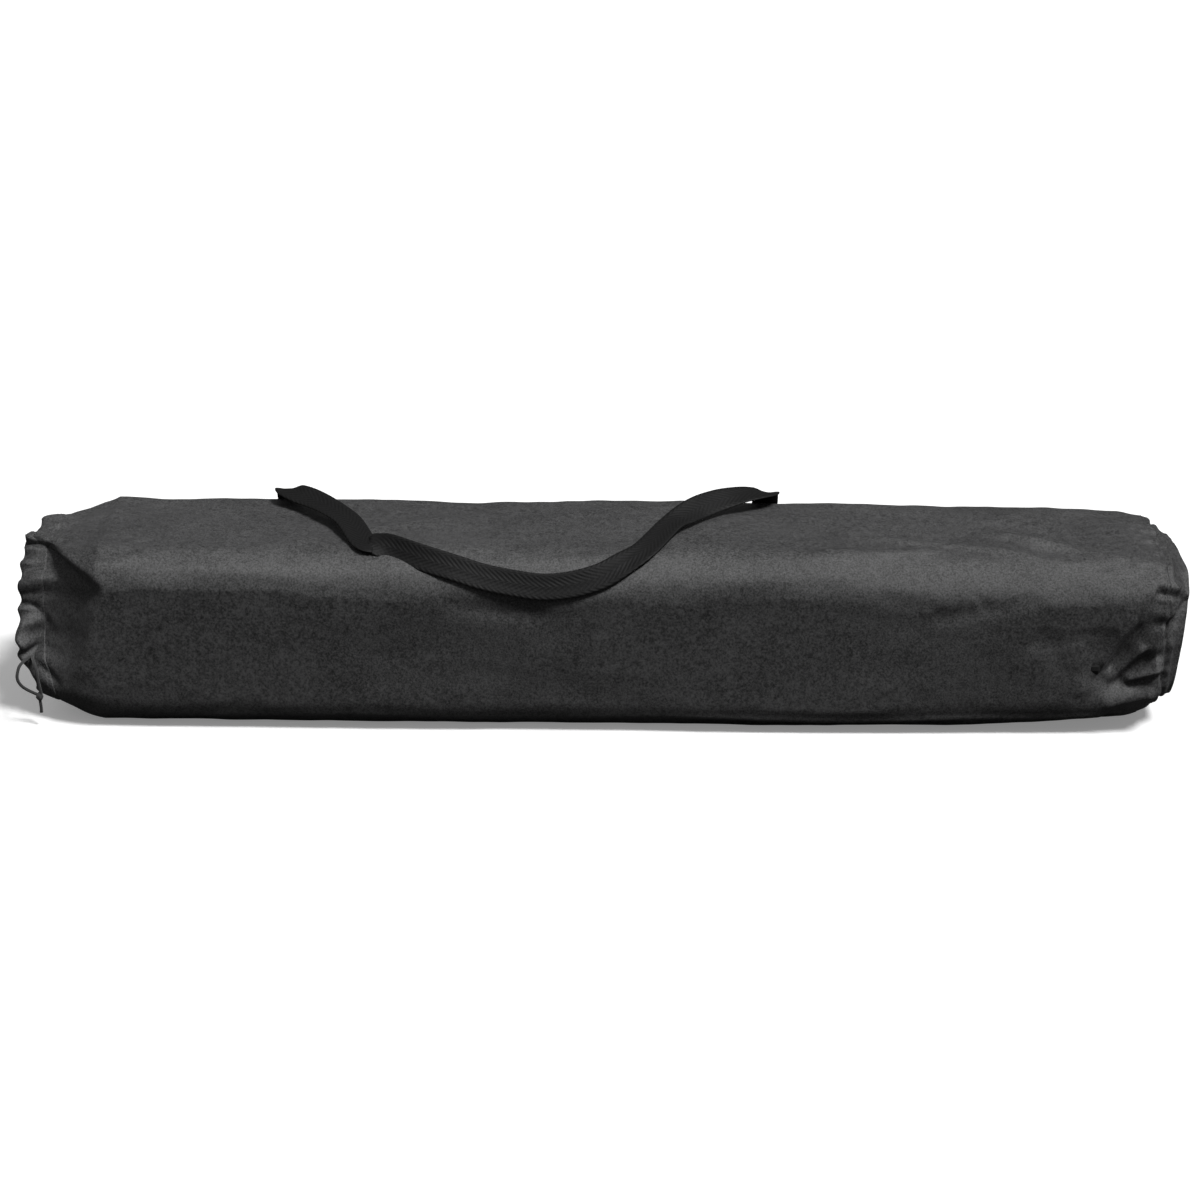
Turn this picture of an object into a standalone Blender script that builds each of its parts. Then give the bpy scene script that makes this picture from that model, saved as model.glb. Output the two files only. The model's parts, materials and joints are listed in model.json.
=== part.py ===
"""Background support system packed in its drawstring carry bag.

Two folding light stands and a four-piece crossbar lie side by side in a long
cloth bag. The bag's mouth is at -X and is drawn half shut by a cord in its hem,
the sewn end is at +X, the front is at -Y, and a webbing handle lies over the top.
Units are metres, +Z is up, and the origin is on the floor under the bag's middle.
"""

import math

import bmesh
import bpy
from mathutils import Matrix, Vector

# ---------------------------------------------------------------- driving sizes
GAP = 0.0003            # between pieces that touch
RUNNING = 0.0003        # between a piece and the bore it turns or slides in
ROUND = 20              # sides of a round piece
SMALL_ROUND = 12        # sides of a pin, stem or hole

# The bag: a wrap, a base panel, an end panel, a gathered mouth and its hem.
BAG_LENGTH = 1.100
BAG_HEIGHT = 0.176
SIDE_ROOM = 0.002425    # beside each stand, to the other stand and to the cloth
CLOTH = 0.0016
FRONT_TOP_RADIUS = 0.060
BACK_TOP_RADIUS = 0.040
LOW_RADIUS = 0.034
SEAM_ANGLE = 18         # degrees below level where the base panel's seam runs
MOUTH_TAPER = 0.078     # length over which the cloth is gathered in
END_TAPER = 0.070
END_SHRINK = 0.84
HEM_WIDTH = 0.025
HEM_SIDE = 0.017        # how far the hem is drawn in from each side of the bag
HEM_RISE = 0.014        # and from its top and its base
HEM_RADIUS = 0.044
HEM_CLOTH = 0.0012
CHANNEL = 0.0046        # room for the drawcord between the hem's two layers

# The drawcord and the end of it that hangs from the hem.
CORD_DIAMETER = 0.003
CORD_POINTS = 56
KNOT_RADIUS = 0.0036
KNOT_LENGTH = 0.008
CORD_TAG = 0.013
EYELET_RADIUS = 0.003

# The carrying handle.
STRAP_WIDTH = 0.025
STRAP_THICKNESS = 0.0018
ANCHOR_LEFT = -0.302
ANCHOR_RIGHT = 0.158
HINGE_SET_IN = 0.030    # from the bag's back to the fold that the strap swings on
HINGE_RISE = 0.008      # from the bag's top to that fold
ANCHOR_TAIL = 22        # degrees above level where the sewn patch ends on the back

# The stands.
BASE_TUBE_RADIUS = 0.0150
MIDDLE_TUBE_RADIUS = 0.0125
UPPER_TUBE_RADIUS = 0.0100
TUBE_WALL = 0.0012
LEG_RADIUS = 0.0110
LEG_ANGLES = (270, 30, 150)
FOOT_LENGTH = 0.035
FOOT_FLOOR = 0.008
LEG_LENGTH = 0.640
STAND_BACKSET = 0.082   # from the bag's sewn end to the stands' feet
BASE_TUBE_START = 0.055
BASE_TUBE_END = 0.800
MIDDLE_TUBE_START = 0.070
MIDDLE_TUBE_END = 0.850
UPPER_TUBE_START = 0.075
UPPER_TUBE_END = 0.885
COLLAR_WALL = 0.0055
LOCK_COLLAR_LENGTH = 0.045
LOCK_COLLAR_THROAT = 0.012
LEG_COLLAR_START = 0.645
LEG_COLLAR_LENGTH = 0.046
BRACE_COLLAR_START = 0.062
BRACE_COLLAR_LENGTH = 0.030
FORK_GAP = 0.0092
CHEEK = 0.0022
PIN_RADIUS = 0.0020
BRACE_STAND_OFF = 0.003 # from the collars' rim to the middle of a brace
LEG_STAND_OFF = 0.0155  # from the middle of a brace to the middle of its leg
LEG_PIN_SET_IN = 0.0015 # from the middle of a leg in to its pin
BRACE_THICKNESS = 0.003
BRACE_LENGTH = 0.308
KNOB_STEM_RADIUS = 0.003
KNOB_RISE = 0.019       # from the base tube's wall to a knob's head
KNOB_THICKNESS = 0.013
KNOB_RADIUS = 0.0105
KNOB_LOBE = 0.0025
STUD_RADIUS = 0.0047
SPIGOT_RADIUS = 0.0080
SPIGOT_LENGTH = 0.016
STUD_LENGTH = 0.020
NUT_HEIGHT = 0.008
WING_SPAN = 0.034

# The crossbar's four tubes.
BAR_RADIUS = 0.0150
BAR_WALL = 0.0013
BAR_LENGTH = 0.880
BAR_BACKSET = 0.125     # from the bag's sewn end to the tubes' far ends
SWAGE_LENGTH = 0.060
BUTTON_RADIUS = 0.0035
BUTTON_HEIGHT = 0.0030
SPIGOT_HOLE_INSET = 0.025

# ---------------------------------------------------------------- worked out
BRACE_ORBIT = BASE_TUBE_RADIUS + COLLAR_WALL + BRACE_STAND_OFF
LEG_ORBIT = BRACE_ORBIT + LEG_STAND_OFF
LEG_PIN_ORBIT = LEG_ORBIT - LEG_PIN_SET_IN
KNOB_HEAD_START = BASE_TUBE_RADIUS + KNOB_RISE
KNOB_HEAD_END = KNOB_HEAD_START + KNOB_THICKNESS
STAND_Y = LEG_ORBIT * math.cos(math.radians(LEG_ANGLES[1])) + LEG_RADIUS + SIDE_ROOM
BAG_DEPTH = 2 * (CLOTH + 2 * STAND_Y)
HEM_DEPTH = BAG_DEPTH - 2 * HEM_SIDE
HEM_LOW = HEM_RISE
HEM_HIGH = BAG_HEIGHT - HEM_RISE
HINGE_Y = BAG_DEPTH / 2 - HINGE_SET_IN
HINGE_Z = BAG_HEIGHT + HINGE_RISE
MOUTH_X = -BAG_LENGTH / 2
SEWN_X = BAG_LENGTH / 2
WRAP_START = MOUTH_X + MOUTH_TAPER
WRAP_END = SEWN_X - END_TAPER
STRAP_LIFT = STRAP_THICKNESS / 2 + 3 * GAP
STAND_Z = CLOTH + GAP + LEG_ORBIT + LEG_RADIUS
STAND_FOOT_X = SEWN_X - STAND_BACKSET
BAR_LOW_LEG_RISE = LEG_ORBIT * math.sin(math.radians(LEG_ANGLES[1]))
BAR_Y = BAR_RADIUS + GAP
KNOB_SIDE = 90          # degrees: the lock knobs point up, between two legs


def materials():
    """The finish of each kind of surface: colour, roughness and metallic value."""
    finishes = {
        "bag_cloth": ((0.030, 0.030, 0.031), 0.85, 0.0),
        "webbing": ((0.018, 0.018, 0.019), 0.80, 0.0),
        "cord": ((0.010, 0.010, 0.010), 0.75, 0.0),
        "black_tube": ((0.022, 0.022, 0.024), 0.35, 0.6),
        "black_plastic": ((0.020, 0.020, 0.021), 0.45, 0.0),
        "rubber": ((0.014, 0.014, 0.014), 0.80, 0.0),
        "bright_steel": ((0.560, 0.560, 0.560), 0.28, 1.0),
    }
    made = {}
    for name, (colour, roughness, metallic) in finishes.items():
        material = bpy.data.materials.new(name)
        material.use_nodes = True
        shader = material.node_tree.nodes["Principled BSDF"]
        shader.inputs["Base Color"].default_value = (*colour, 1)
        shader.inputs["Roughness"].default_value = roughness
        shader.inputs["Metallic"].default_value = metallic
        made[name] = material
    return made


# ---------------------------------------------------------------- building blocks
def clear_scene():
    for thing in list(bpy.data.objects):
        bpy.data.objects.remove(thing)


def make_object(name, bm, finish=None):
    """An object from a closed bmesh, with outward normals and smooth round faces."""
    bmesh.ops.recalc_face_normals(bm, faces=bm.faces)
    mesh = bpy.data.meshes.new(name)
    bm.to_mesh(mesh)
    bm.free()
    mesh.shade_smooth()
    mesh.set_sharp_from_angle(angle=math.radians(35))
    thing = bpy.data.objects.new(name, mesh)
    bpy.context.scene.collection.objects.link(thing)
    if finish:
        mesh.materials.append(MATERIALS[finish])
    return thing


def turned(name, profile, sides, finish=None):
    """A solid turned about X. profile is a closed loop of (x, radius) points."""
    bm = bmesh.new()
    points = [bm.verts.new((x, radius, 0)) for x, radius in profile]
    edges = [
        bm.edges.new((a, b))
        for a, b in zip(points, points[1:] + points[:1])
        if a.co.y > 0 or b.co.y > 0
    ]
    bmesh.ops.spin(bm, geom=points + edges, cent=(0, 0, 0), axis=(1, 0, 0),
                   angle=2 * math.pi, steps=sides, use_merge=True)
    bmesh.ops.remove_doubles(bm, verts=bm.verts, dist=1e-6)
    return make_object(name, bm, finish)


def pipe(name, start, end, outer, inner, sides, finish=None):
    return turned(name, [(start, inner), (start, outer), (end, outer), (end, inner)], sides, finish)


def rod(name, start, end, radius, sides=SMALL_ROUND, finish=None):
    return turned(name, [(start, 0), (start, radius), (end, radius), (end, 0)], sides, finish)


def block(name, low, high):
    """A box between two corners."""
    bm = bmesh.new()
    size = Vector(high) - Vector(low)
    place = Matrix.Translation((Vector(low) + Vector(high)) / 2) @ Matrix.Diagonal((*size, 1))
    bmesh.ops.create_cube(bm, size=1, matrix=place)
    return make_object(name, bm)


def extruded(name, outline, start, end, finish=None):
    """A closed outline of (y, z) points drawn along X from start to end."""
    bm = bmesh.new()
    face = bm.faces.new([bm.verts.new((start, y, z)) for y, z in outline])
    made = bmesh.ops.extrude_face_region(bm, geom=[face])
    moved = [v for v in made["geom"] if isinstance(v, bmesh.types.BMVert)]
    bmesh.ops.translate(bm, verts=moved, vec=(end - start, 0, 0))
    return make_object(name, bm, finish)


def strip_faces(bm, first, second, closed):
    """Four-sided faces between two rows of as many vertices."""
    count = len(first)
    for i in range(count if closed else count - 1):
        j = (i + 1) % count
        bm.faces.new((first[i], first[j], second[j], second[i]))


def walled(name, outer, inner, closed, capped, finish):
    """A wall between two lofted skins, each a list of rows of points.

    closed joins each row's ends; capped shuts the last row of both skins, as a cup's floor does.
    """
    bm = bmesh.new()
    skins = [[[bm.verts.new(p) for p in row] for row in skin] for skin in (outer, inner)]
    for skin in skins:
        for first, second in zip(skin, skin[1:]):
            strip_faces(bm, first, second, closed)
    strip_faces(bm, skins[0][0], skins[1][0], closed)
    if capped:
        bm.faces.new(skins[0][-1])
        bm.faces.new(skins[1][-1])
    else:
        strip_faces(bm, skins[0][-1], skins[1][-1], closed)
    if not closed:
        for side in (0, -1):
            edge = [[row[side] for row in skin] for skin in skins]
            strip_faces(bm, edge[0], edge[1], False)
    return make_object(name, bm, finish)


def swept(name, sections, ring, finish):
    """A solid through closed sections of as many points; ring joins the last to the first."""
    bm = bmesh.new()
    rows = [[bm.verts.new(p) for p in section] for section in sections]
    for first, second in zip(rows, rows[1:] + rows[:1] if ring else rows[1:]):
        strip_faces(bm, first, second, True)
    if not ring:
        bm.faces.new(rows[0])
        bm.faces.new(rows[-1])
    return make_object(name, bm, finish)


def placed(thing, matrix):
    """Moves a tool's or a piece's own mesh, so that its origin stays where it is."""
    thing.data.transform(matrix)
    return thing


def combine(thing, tool, operation):
    """Joins tool to thing, or cuts it away, and removes the tool."""
    step = thing.modifiers.new(operation, "BOOLEAN")
    step.operation = operation
    step.solver = "EXACT"
    step.object = tool
    bpy.context.view_layer.update()
    graph = bpy.context.evaluated_depsgraph_get()
    mesh = bpy.data.meshes.new_from_object(thing.evaluated_get(graph))
    thing.modifiers.clear()
    thing.data = mesh
    bpy.data.objects.remove(tool)
    return thing


def fuse(thing, *tools):
    for tool in tools:
        combine(thing, tool, "UNION")
    return thing


def cut(thing, *tools):
    for tool in tools:
        combine(thing, tool, "DIFFERENCE")
    return thing


def around(angle):
    """Turns a piece built on the upward side (+Z) to an angle about X, counted from +Y."""
    return Matrix.Rotation(math.radians(angle - 90), 4, "X")


def smooth_route(points, per_span):
    """A smooth curve through the points, with per_span steps between each two."""
    ends = [2 * points[0] - points[1], *points, 2 * points[-1] - points[-2]]
    route = []
    for a, b, c, d in zip(ends, ends[1:], ends[2:], ends[3:]):
        for step in range(per_span):
            t = step / per_span
            route.append(
                0.5 * (2 * b + (c - a) * t + (2 * a - 5 * b + 4 * c - d) * t ** 2
                       + (3 * b - a - 3 * c + d) * t ** 3)
            )
    return route + [points[-1]]


def cord_object(name, points, ring, finish):
    """A round cord through the points."""
    curve = bpy.data.curves.new(name, "CURVE")
    curve.dimensions = "3D"
    curve.bevel_depth = CORD_DIAMETER / 2
    curve.bevel_resolution = 2
    curve.use_fill_caps = True
    spline = curve.splines.new("POLY")
    spline.points.add(len(points) - 1)
    for point, place in zip(spline.points, points):
        point.co = (*place, 1)
    spline.use_cyclic_u = ring
    curve.materials.append(MATERIALS[finish])
    thing = bpy.data.objects.new(name, curve)
    bpy.context.scene.collection.objects.link(thing)
    return thing


# ---------------------------------------------------------------- the bag
def corners(depth, low, high, radii):
    """The four corner arcs of a section as (y, z, radius): front low, front top, back top, back low."""
    front_low, front_top, back_top, back_low = radii
    half = depth / 2
    return (
        (-half + front_low, low + front_low, front_low),
        (-half + front_top, high - front_top, front_top),
        (half - back_top, high - back_top, back_top),
        (half - back_low, low + back_low, back_low),
    )


BAG_CORNERS = corners(BAG_DEPTH, 0, BAG_HEIGHT,
                      (LOW_RADIUS, FRONT_TOP_RADIUS, BACK_TOP_RADIUS, LOW_RADIUS))
HEM_CORNERS = corners(HEM_DEPTH, HEM_LOW, HEM_HIGH, (HEM_RADIUS,) * 4)
ARC_STEPS = (6, 10, 8, 6)


def arc(corner, inset, start, end, steps):
    """Points on a corner's arc, moved inwards by inset; angles count from +Y towards +Z."""
    y, z, radius = corner
    angles = [math.radians(start + (end - start) * i / steps) for i in range(steps + 1)]
    return [(y + (radius - inset) * math.cos(a), z + (radius - inset) * math.sin(a)) for a in angles]


def full_outline(section, inset):
    """The whole section, from underneath up the front, over the top and down the back."""
    turns = ((270, 180), (180, 90), (90, 0), (0, -90))
    outline = []
    for corner, (start, end), steps in zip(section, turns, ARC_STEPS):
        outline += arc(corner, inset, start, end, steps)
    return outline


def wrap_outline(inset):
    """From the front seam over the top to the back seam."""
    front_low, front_top, back_top, back_low = BAG_CORNERS
    return (
        arc(front_low, inset, 180 + SEAM_ANGLE, 180, 3)
        + arc(front_top, inset, 180, 90, ARC_STEPS[1])
        + arc(back_top, inset, 90, 0, ARC_STEPS[2])
        + arc(back_low, inset, 0, -SEAM_ANGLE, 3)
    )


def base_outline(inset):
    """From the back seam under the bag to the front seam."""
    seam = SEAM_ANGLE + math.degrees(GAP / LOW_RADIUS)
    front_low, _, _, back_low = BAG_CORNERS
    return arc(back_low, inset, -seam, -90, 5) + arc(front_low, inset, -90, -180 + seam, 5)


def row(x, outline):
    return [(x, y, z) for y, z in outline]


def shrunk(outline, share):
    """The outline drawn in towards the section's middle."""
    middle = BAG_HEIGHT / 2
    return [(y * share, middle + (z - middle) * share) for y, z in outline]


def bag_wrap():
    rows = [[row(x, wrap_outline(inset)) for x in (WRAP_START, WRAP_END)] for inset in (0, CLOTH)]
    walled("bag_wrap", *rows, closed=False, capped=False, finish="bag_cloth")


def bag_base():
    rows = [[row(x, base_outline(inset)) for x in (WRAP_START, WRAP_END)] for inset in (0, CLOTH)]
    walled("bag_base", *rows, closed=False, capped=False, finish="bag_cloth")


def bag_end_panel():
    """A cup that closes the sewn end, drawn in like the corner of a stuffed bag."""
    skins = []
    for inset in (0, CLOTH):
        outline = full_outline(BAG_CORNERS, inset)
        start = WRAP_END + GAP
        length = END_TAPER - GAP - inset
        skin = []
        for turn in (0, 30, 60, 90):
            bend = math.radians(turn)
            share = END_SHRINK + (1 - END_SHRINK) * math.cos(bend)
            skin.append(row(start + length * math.sin(bend), shrunk(outline, share)))
        skins.append(skin)
    walled("bag_end_panel", *skins, closed=True, capped=True, finish="bag_cloth")


def mouth_gusset():
    """The cloth that narrows from the bag's section to the hem."""
    near = MOUTH_X + HEM_WIDTH + GAP
    far = WRAP_START - GAP
    skins = []
    for inset in (0, CLOTH):
        wide = full_outline(BAG_CORNERS, inset)
        narrow = full_outline(HEM_CORNERS, inset)
        skin = []
        for share in (0, 0.35, 0.7, 1):
            ease = share ** 1.3
            mixed = [
                ((1 - ease) * a[0] + ease * b[0], (1 - ease) * a[1] + ease * b[1])
                for a, b in zip(wide, narrow)
            ]
            skin.append(row(far + (near - far) * share, mixed))
        skins.append(skin)
    walled("mouth_gusset", *skins, closed=True, capped=False, finish="bag_cloth")


def hem_path(inset):
    """(y, z) and the outward direction at each step round the hem."""
    turns = ((270, 180), (180, 90), (90, 0), (0, -90))
    path = []
    for corner, (start, end) in zip(HEM_CORNERS, turns):
        steps = 8
        for i, (y, z) in enumerate(arc(corner, inset, start, end, steps)):
            bend = math.radians(start + (end - start) * i / steps)
            path.append((y, z, math.cos(bend), math.sin(bend)))
    return path


def mouth_hem():
    """The hem folded back on itself round the drawcord, open towards the bag."""
    fold, open_end = MOUTH_X, MOUTH_X + HEM_WIDTH
    deep = CHANNEL + 2 * HEM_CLOTH
    chamfer = 0.0016
    profile = [
        (open_end, 0), (fold + chamfer, 0), (fold, -chamfer),
        (fold, chamfer - deep), (fold + chamfer, -deep), (open_end, -deep),
        (open_end, HEM_CLOTH - deep), (fold + 2 * HEM_CLOTH, HEM_CLOTH - deep),
        (fold + HEM_CLOTH, 2 * HEM_CLOTH - deep), (fold + HEM_CLOTH, -2 * HEM_CLOTH),
        (fold + 2 * HEM_CLOTH, -HEM_CLOTH), (open_end, -HEM_CLOTH),
    ]
    sections = [
        [(x, y + out * dy, z + out * dz) for x, out in profile]
        for y, z, dy, dz in hem_path(0)
    ]
    hem = swept("mouth_hem", sections, ring=True, finish="bag_cloth")
    for eyelet in EYELETS:
        hole = rod("eyelet_cutter", -HEM_CLOTH - GAP, 3 * HEM_CLOTH, EYELET_RADIUS)
        toward_front = Matrix.Translation(eyelet) @ Matrix.Rotation(-math.pi / 2, 4, "Z")
        cut(hem, placed(hole, toward_front))


CORD_X = MOUTH_X + HEM_CLOTH + CORD_DIAMETER / 2 + 0.0042
EYELETS = (
    Vector((CORD_X, -HEM_DEPTH / 2 + HEM_CLOTH, 0.068)),
    Vector((CORD_X + 0.009, -HEM_DEPTH / 2 + HEM_CLOTH, 0.068)),
)


def hung(x, out, z):
    """A place in front of the hem, by how far it stands out from it."""
    return Vector((x, -HEM_DEPTH / 2 - out, z))


KNOT_TOP = hung(-0.5270, 0.0075, 0.0355)


def drawcord():
    """The cord that runs right round inside the hem."""
    inset = HEM_CLOTH + CHANNEL / 2
    path = [Vector((CORD_X, y, z)) for y, z, _, _ in hem_path(inset)]
    lengths = [(b - a).length for a, b in zip(path, path[1:] + path[:1])]
    step = sum(lengths) / CORD_POINTS
    points, at = [], 0.0
    for a, b, length in zip(path, path[1:] + path[:1], lengths):
        while at < length - 1e-9:
            points.append(a + (b - a) * at / length)
            at += step
        at -= length
    cord_object("drawcord", points, True, "cord")


def drawcord_tails():
    """The cord's two ends come out of the hem, hang in front of it and share one knot."""
    inner = CHANNEL / 2 - CORD_DIAMETER / 2 - GAP
    beside_knot = CORD_DIAMETER / 2 + GAP / 2
    routes = {
        "drawcord_front_end": [
            EYELETS[0] + Vector((0, inner, 0)),
            hung(-0.5440, 0.0040, 0.0675),
            hung(-0.5462, 0.0090, 0.0640),
            hung(-0.5460, 0.0105, 0.0560),
            hung(-0.5410, 0.0103, 0.0475),
            hung(-0.5320, 0.0092, 0.0400),
            KNOT_TOP + Vector((-beside_knot, 0, GAP)),
        ],
        "drawcord_rear_end": [
            EYELETS[1] + Vector((0, inner, 0)),
            hung(-0.5330, 0.0035, 0.0677),
            hung(-0.5300, 0.0066, 0.0645),
            hung(-0.5268, 0.0072, 0.0560),
            hung(-0.5258, 0.0074, 0.0450),
            KNOT_TOP + Vector((beside_knot, 0, GAP)),
        ],
    }
    for name, points in routes.items():
        cord_object(name, smooth_route(points, 3), False, "cord")


def drawcord_knot():
    """A knot with the cord's cut tag hanging from it."""
    radius = CORD_DIAMETER / 2
    profile = [(0, 0)]
    for turn in (25, 60, 90, 120, 150):
        bend = math.radians(turn)
        profile.append((KNOT_LENGTH / 2 * (1 - math.cos(bend)), KNOT_RADIUS * math.sin(bend)))
    profile += [(KNOT_LENGTH, radius), (KNOT_LENGTH + CORD_TAG, radius), (KNOT_LENGTH + CORD_TAG, 0)]
    knot = turned("drawcord_knot", profile, SMALL_ROUND, "cord")
    placed(knot, Matrix.Translation(KNOT_TOP) @ Matrix.Rotation(math.pi / 2, 4, "Y"))


# ---------------------------------------------------------------- the handle
def strap_anchor(name, middle):
    """The strap's sewn end: flat on the bag's back edge, then standing up to the fold."""
    y, z, radius = BAG_CORNERS[2]
    near = radius + GAP
    steps = 7
    fold = 78
    angles = [math.radians(ANCHOR_TAIL + (fold - ANCHOR_TAIL) * i / steps) for i in range(steps + 1)]
    under = [(y + near * math.cos(a), z + near * math.sin(a)) for a in angles]
    over = [
        (y + (near + STRAP_THICKNESS) * math.cos(a), z + (near + STRAP_THICKNESS) * math.sin(a))
        for a in angles
    ]
    top = HINGE_Z - STRAP_THICKNESS
    riser = [(HINGE_Y, top), (HINGE_Y - STRAP_THICKNESS, top)]
    outline = under + [riser[1], riser[0]] + over[::-1]
    half = STRAP_WIDTH / 2
    extruded(name, outline, middle - half, middle + half, "webbing")


def on_front_edge(x, facing):
    """A place on the bag's front top edge, by the angle above level that it faces."""
    y, z, radius = BAG_CORNERS[1]
    bend = math.radians(facing)
    reach = radius + STRAP_LIFT
    return Vector((x, y - reach * math.cos(bend), z + reach * math.sin(bend))), facing


def over_top(x, forward, rise):
    """A place over the bag's top, by how far it lies in front of the fold."""
    return Vector((x, HINGE_Y - forward, BAG_HEIGHT + rise))


def strap_stations():
    """The strap's middle line as (point, angle above level that its upper side faces)."""
    fold_y, fold_z = HINGE_Y - 0.0005, HINGE_Z + 0.0005
    return [
        (Vector((ANCHOR_LEFT, fold_y, fold_z)), 90),
        (over_top(-0.2995, 0.0100, 0.0112), 84),
        (over_top(-0.2900, 0.0210, 0.0142), 80),
        (over_top(-0.2740, 0.0330, 0.0140), 80),
        (over_top(-0.2560, 0.0540, 0.0120), 84),
        (over_top(-0.2370, 0.0810, 0.0090), 88),
        on_front_edge(-0.2110, 80),
        on_front_edge(-0.1821, 67),
        on_front_edge(-0.1439, 53),
        on_front_edge(-0.1057, 42),
        on_front_edge(-0.0740, 35),
        on_front_edge(-0.0500, 33),
        on_front_edge(-0.0240, 35),
        on_front_edge(0.0023, 43),
        on_front_edge(0.0230, 56),
        on_front_edge(0.0430, 72),
        (over_top(0.0680, 0.0860, 0.0090), 88),
        (over_top(0.0900, 0.0540, 0.0120), 84),
        (over_top(0.1130, 0.0310, 0.0130), 76),
        (over_top(0.1370, 0.0200, 0.0144), 80),
        (over_top(0.1545, 0.0100, 0.0112), 84),
        (Vector((ANCHOR_RIGHT, fold_y, fold_z)), 90),
    ]


def handle_strap():
    """A flat webbing ribbon along its stations, with its width square to its run."""
    stations = strap_stations()
    points = [point for point, _ in stations]
    tilts = [tilt for _, tilt in stations]
    per_span = 3
    route = smooth_route(points, per_span)
    sections = []
    for i, point in enumerate(route):
        ahead = route[min(i + 1, len(route) - 1)]
        behind = route[max(i - 1, 0)]
        run = (ahead - behind).normalized()
        place = min(i / per_span, len(tilts) - 1)
        low = min(int(place), len(tilts) - 2)
        tilt = math.radians(tilts[low] + (tilts[low + 1] - tilts[low]) * (place - low))
        facing = Vector((0, -math.cos(tilt), math.sin(tilt)))
        if i in (0, len(route) - 1):
            run = Vector((0, -1, 0.45)).normalized() * (1 if i == 0 else -1)
        across = facing.cross(run).normalized()
        normal = run.cross(across).normalized()
        half, thin = across * STRAP_WIDTH / 2, normal * STRAP_THICKNESS / 2
        sections.append([point - half - thin, point + half - thin, point + half + thin, point - half + thin])
    swept("handle_strap", sections, ring=False, finish="webbing")


# ---------------------------------------------------------------- the stands
def collar_ring(name, start, length, bore, throat=None):
    """A moulded collar round a tube, with a smaller throat round the next one."""
    outer = bore + COLLAR_WALL
    chamfer = 0.0015
    end = start + length
    profile = [(start, bore), (start, outer - chamfer), (start + chamfer, outer),
               (end - chamfer, outer), (end, outer - chamfer)]
    if throat is None:
        profile.append((end, bore))
    else:
        profile += [(end, throat), (end - LOCK_COLLAR_THROAT, throat), (end - LOCK_COLLAR_THROAT, bore)]
    return turned(name, profile, ROUND, "black_plastic")


def drill_for_knob(collar, at):
    """A hole up through the collar's wall for the lock knob's stem."""
    hole = rod("stem_cutter", 0, KNOB_HEAD_START, KNOB_STEM_RADIUS + RUNNING)
    cut(collar, placed(hole, knob_place(at)))


def knob_place(at):
    """Where a lock knob's own axis, X, points up from the stand's axis."""
    return Matrix.Translation((at, 0, 0)) @ around(KNOB_SIDE) @ Matrix.Rotation(-math.pi / 2, 4, "Y")


def cheeks(start, length, inner, outer):
    """The two cheeks of one fork, on the upward side."""
    made = []
    for side in (-1, 1):
        near, far = side * FORK_GAP / 2, side * (FORK_GAP / 2 + CHEEK)
        low, high = min(near, far), max(near, far)
        made.append(block("cheek", (start, low, inner), (start + length, high, outer)))
    return made


def cross_pin(name, at, orbit, radius, reach):
    """A pin across a fork, on the upward side."""
    pin = rod(name, -reach, reach, radius)
    return placed(pin, Matrix.Translation((at, 0, orbit)) @ Matrix.Rotation(math.pi / 2, 4, "Z"))


def add_forks(collar, start, length, inner, outer, pin_at, pin_orbit):
    """Three forks round a collar, each with its pin hole."""
    for angle in LEG_ANGLES:
        for cheek in cheeks(start, length, inner, outer):
            fuse(collar, placed(cheek, around(angle)))
    for angle in LEG_ANGLES:
        hole = cross_pin("pin_cutter", pin_at, pin_orbit, PIN_RADIUS + RUNNING, FORK_GAP)
        cut(collar, placed(hole, around(angle)))
    return collar


LEG_PIN_AT = LEG_COLLAR_START + 0.017
BRACE_PIN_AT = BRACE_COLLAR_START + 0.015
BRACE_TOP_PIN_AT = BRACE_PIN_AT + BRACE_LENGTH
LEG_KNOB_AT = LEG_COLLAR_START + LEG_COLLAR_LENGTH - 0.014
LOWER_COLLAR_START = BASE_TUBE_END + LOCK_COLLAR_THROAT + GAP - LOCK_COLLAR_LENGTH
UPPER_COLLAR_START = MIDDLE_TUBE_END + LOCK_COLLAR_THROAT + GAP - LOCK_COLLAR_LENGTH
LOWER_KNOB_AT = LOWER_COLLAR_START + 0.018
UPPER_KNOB_AT = UPPER_COLLAR_START + 0.018


def stand_tubes(place):
    place("base_tube", pipe("tube", BASE_TUBE_START, BASE_TUBE_END, BASE_TUBE_RADIUS,
                            BASE_TUBE_RADIUS - TUBE_WALL, ROUND, "black_tube"))
    place("middle_tube", pipe("tube", MIDDLE_TUBE_START, MIDDLE_TUBE_END, MIDDLE_TUBE_RADIUS,
                              MIDDLE_TUBE_RADIUS - TUBE_WALL, ROUND, "black_tube"))
    place("upper_tube", pipe("tube", UPPER_TUBE_START, UPPER_TUBE_END, UPPER_TUBE_RADIUS,
                             UPPER_TUBE_RADIUS - TUBE_WALL, ROUND, "black_tube"))


def lock_collars(place):
    for name, start, tube, slider, knob_at in (
        ("lower_lock_collar", LOWER_COLLAR_START, BASE_TUBE_RADIUS, MIDDLE_TUBE_RADIUS, LOWER_KNOB_AT),
        ("upper_lock_collar", UPPER_COLLAR_START, MIDDLE_TUBE_RADIUS, UPPER_TUBE_RADIUS, UPPER_KNOB_AT),
    ):
        collar = collar_ring("collar", start, LOCK_COLLAR_LENGTH, tube + RUNNING, slider + RUNNING)
        drill_for_knob(collar, knob_at)
        place(name, collar)


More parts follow.
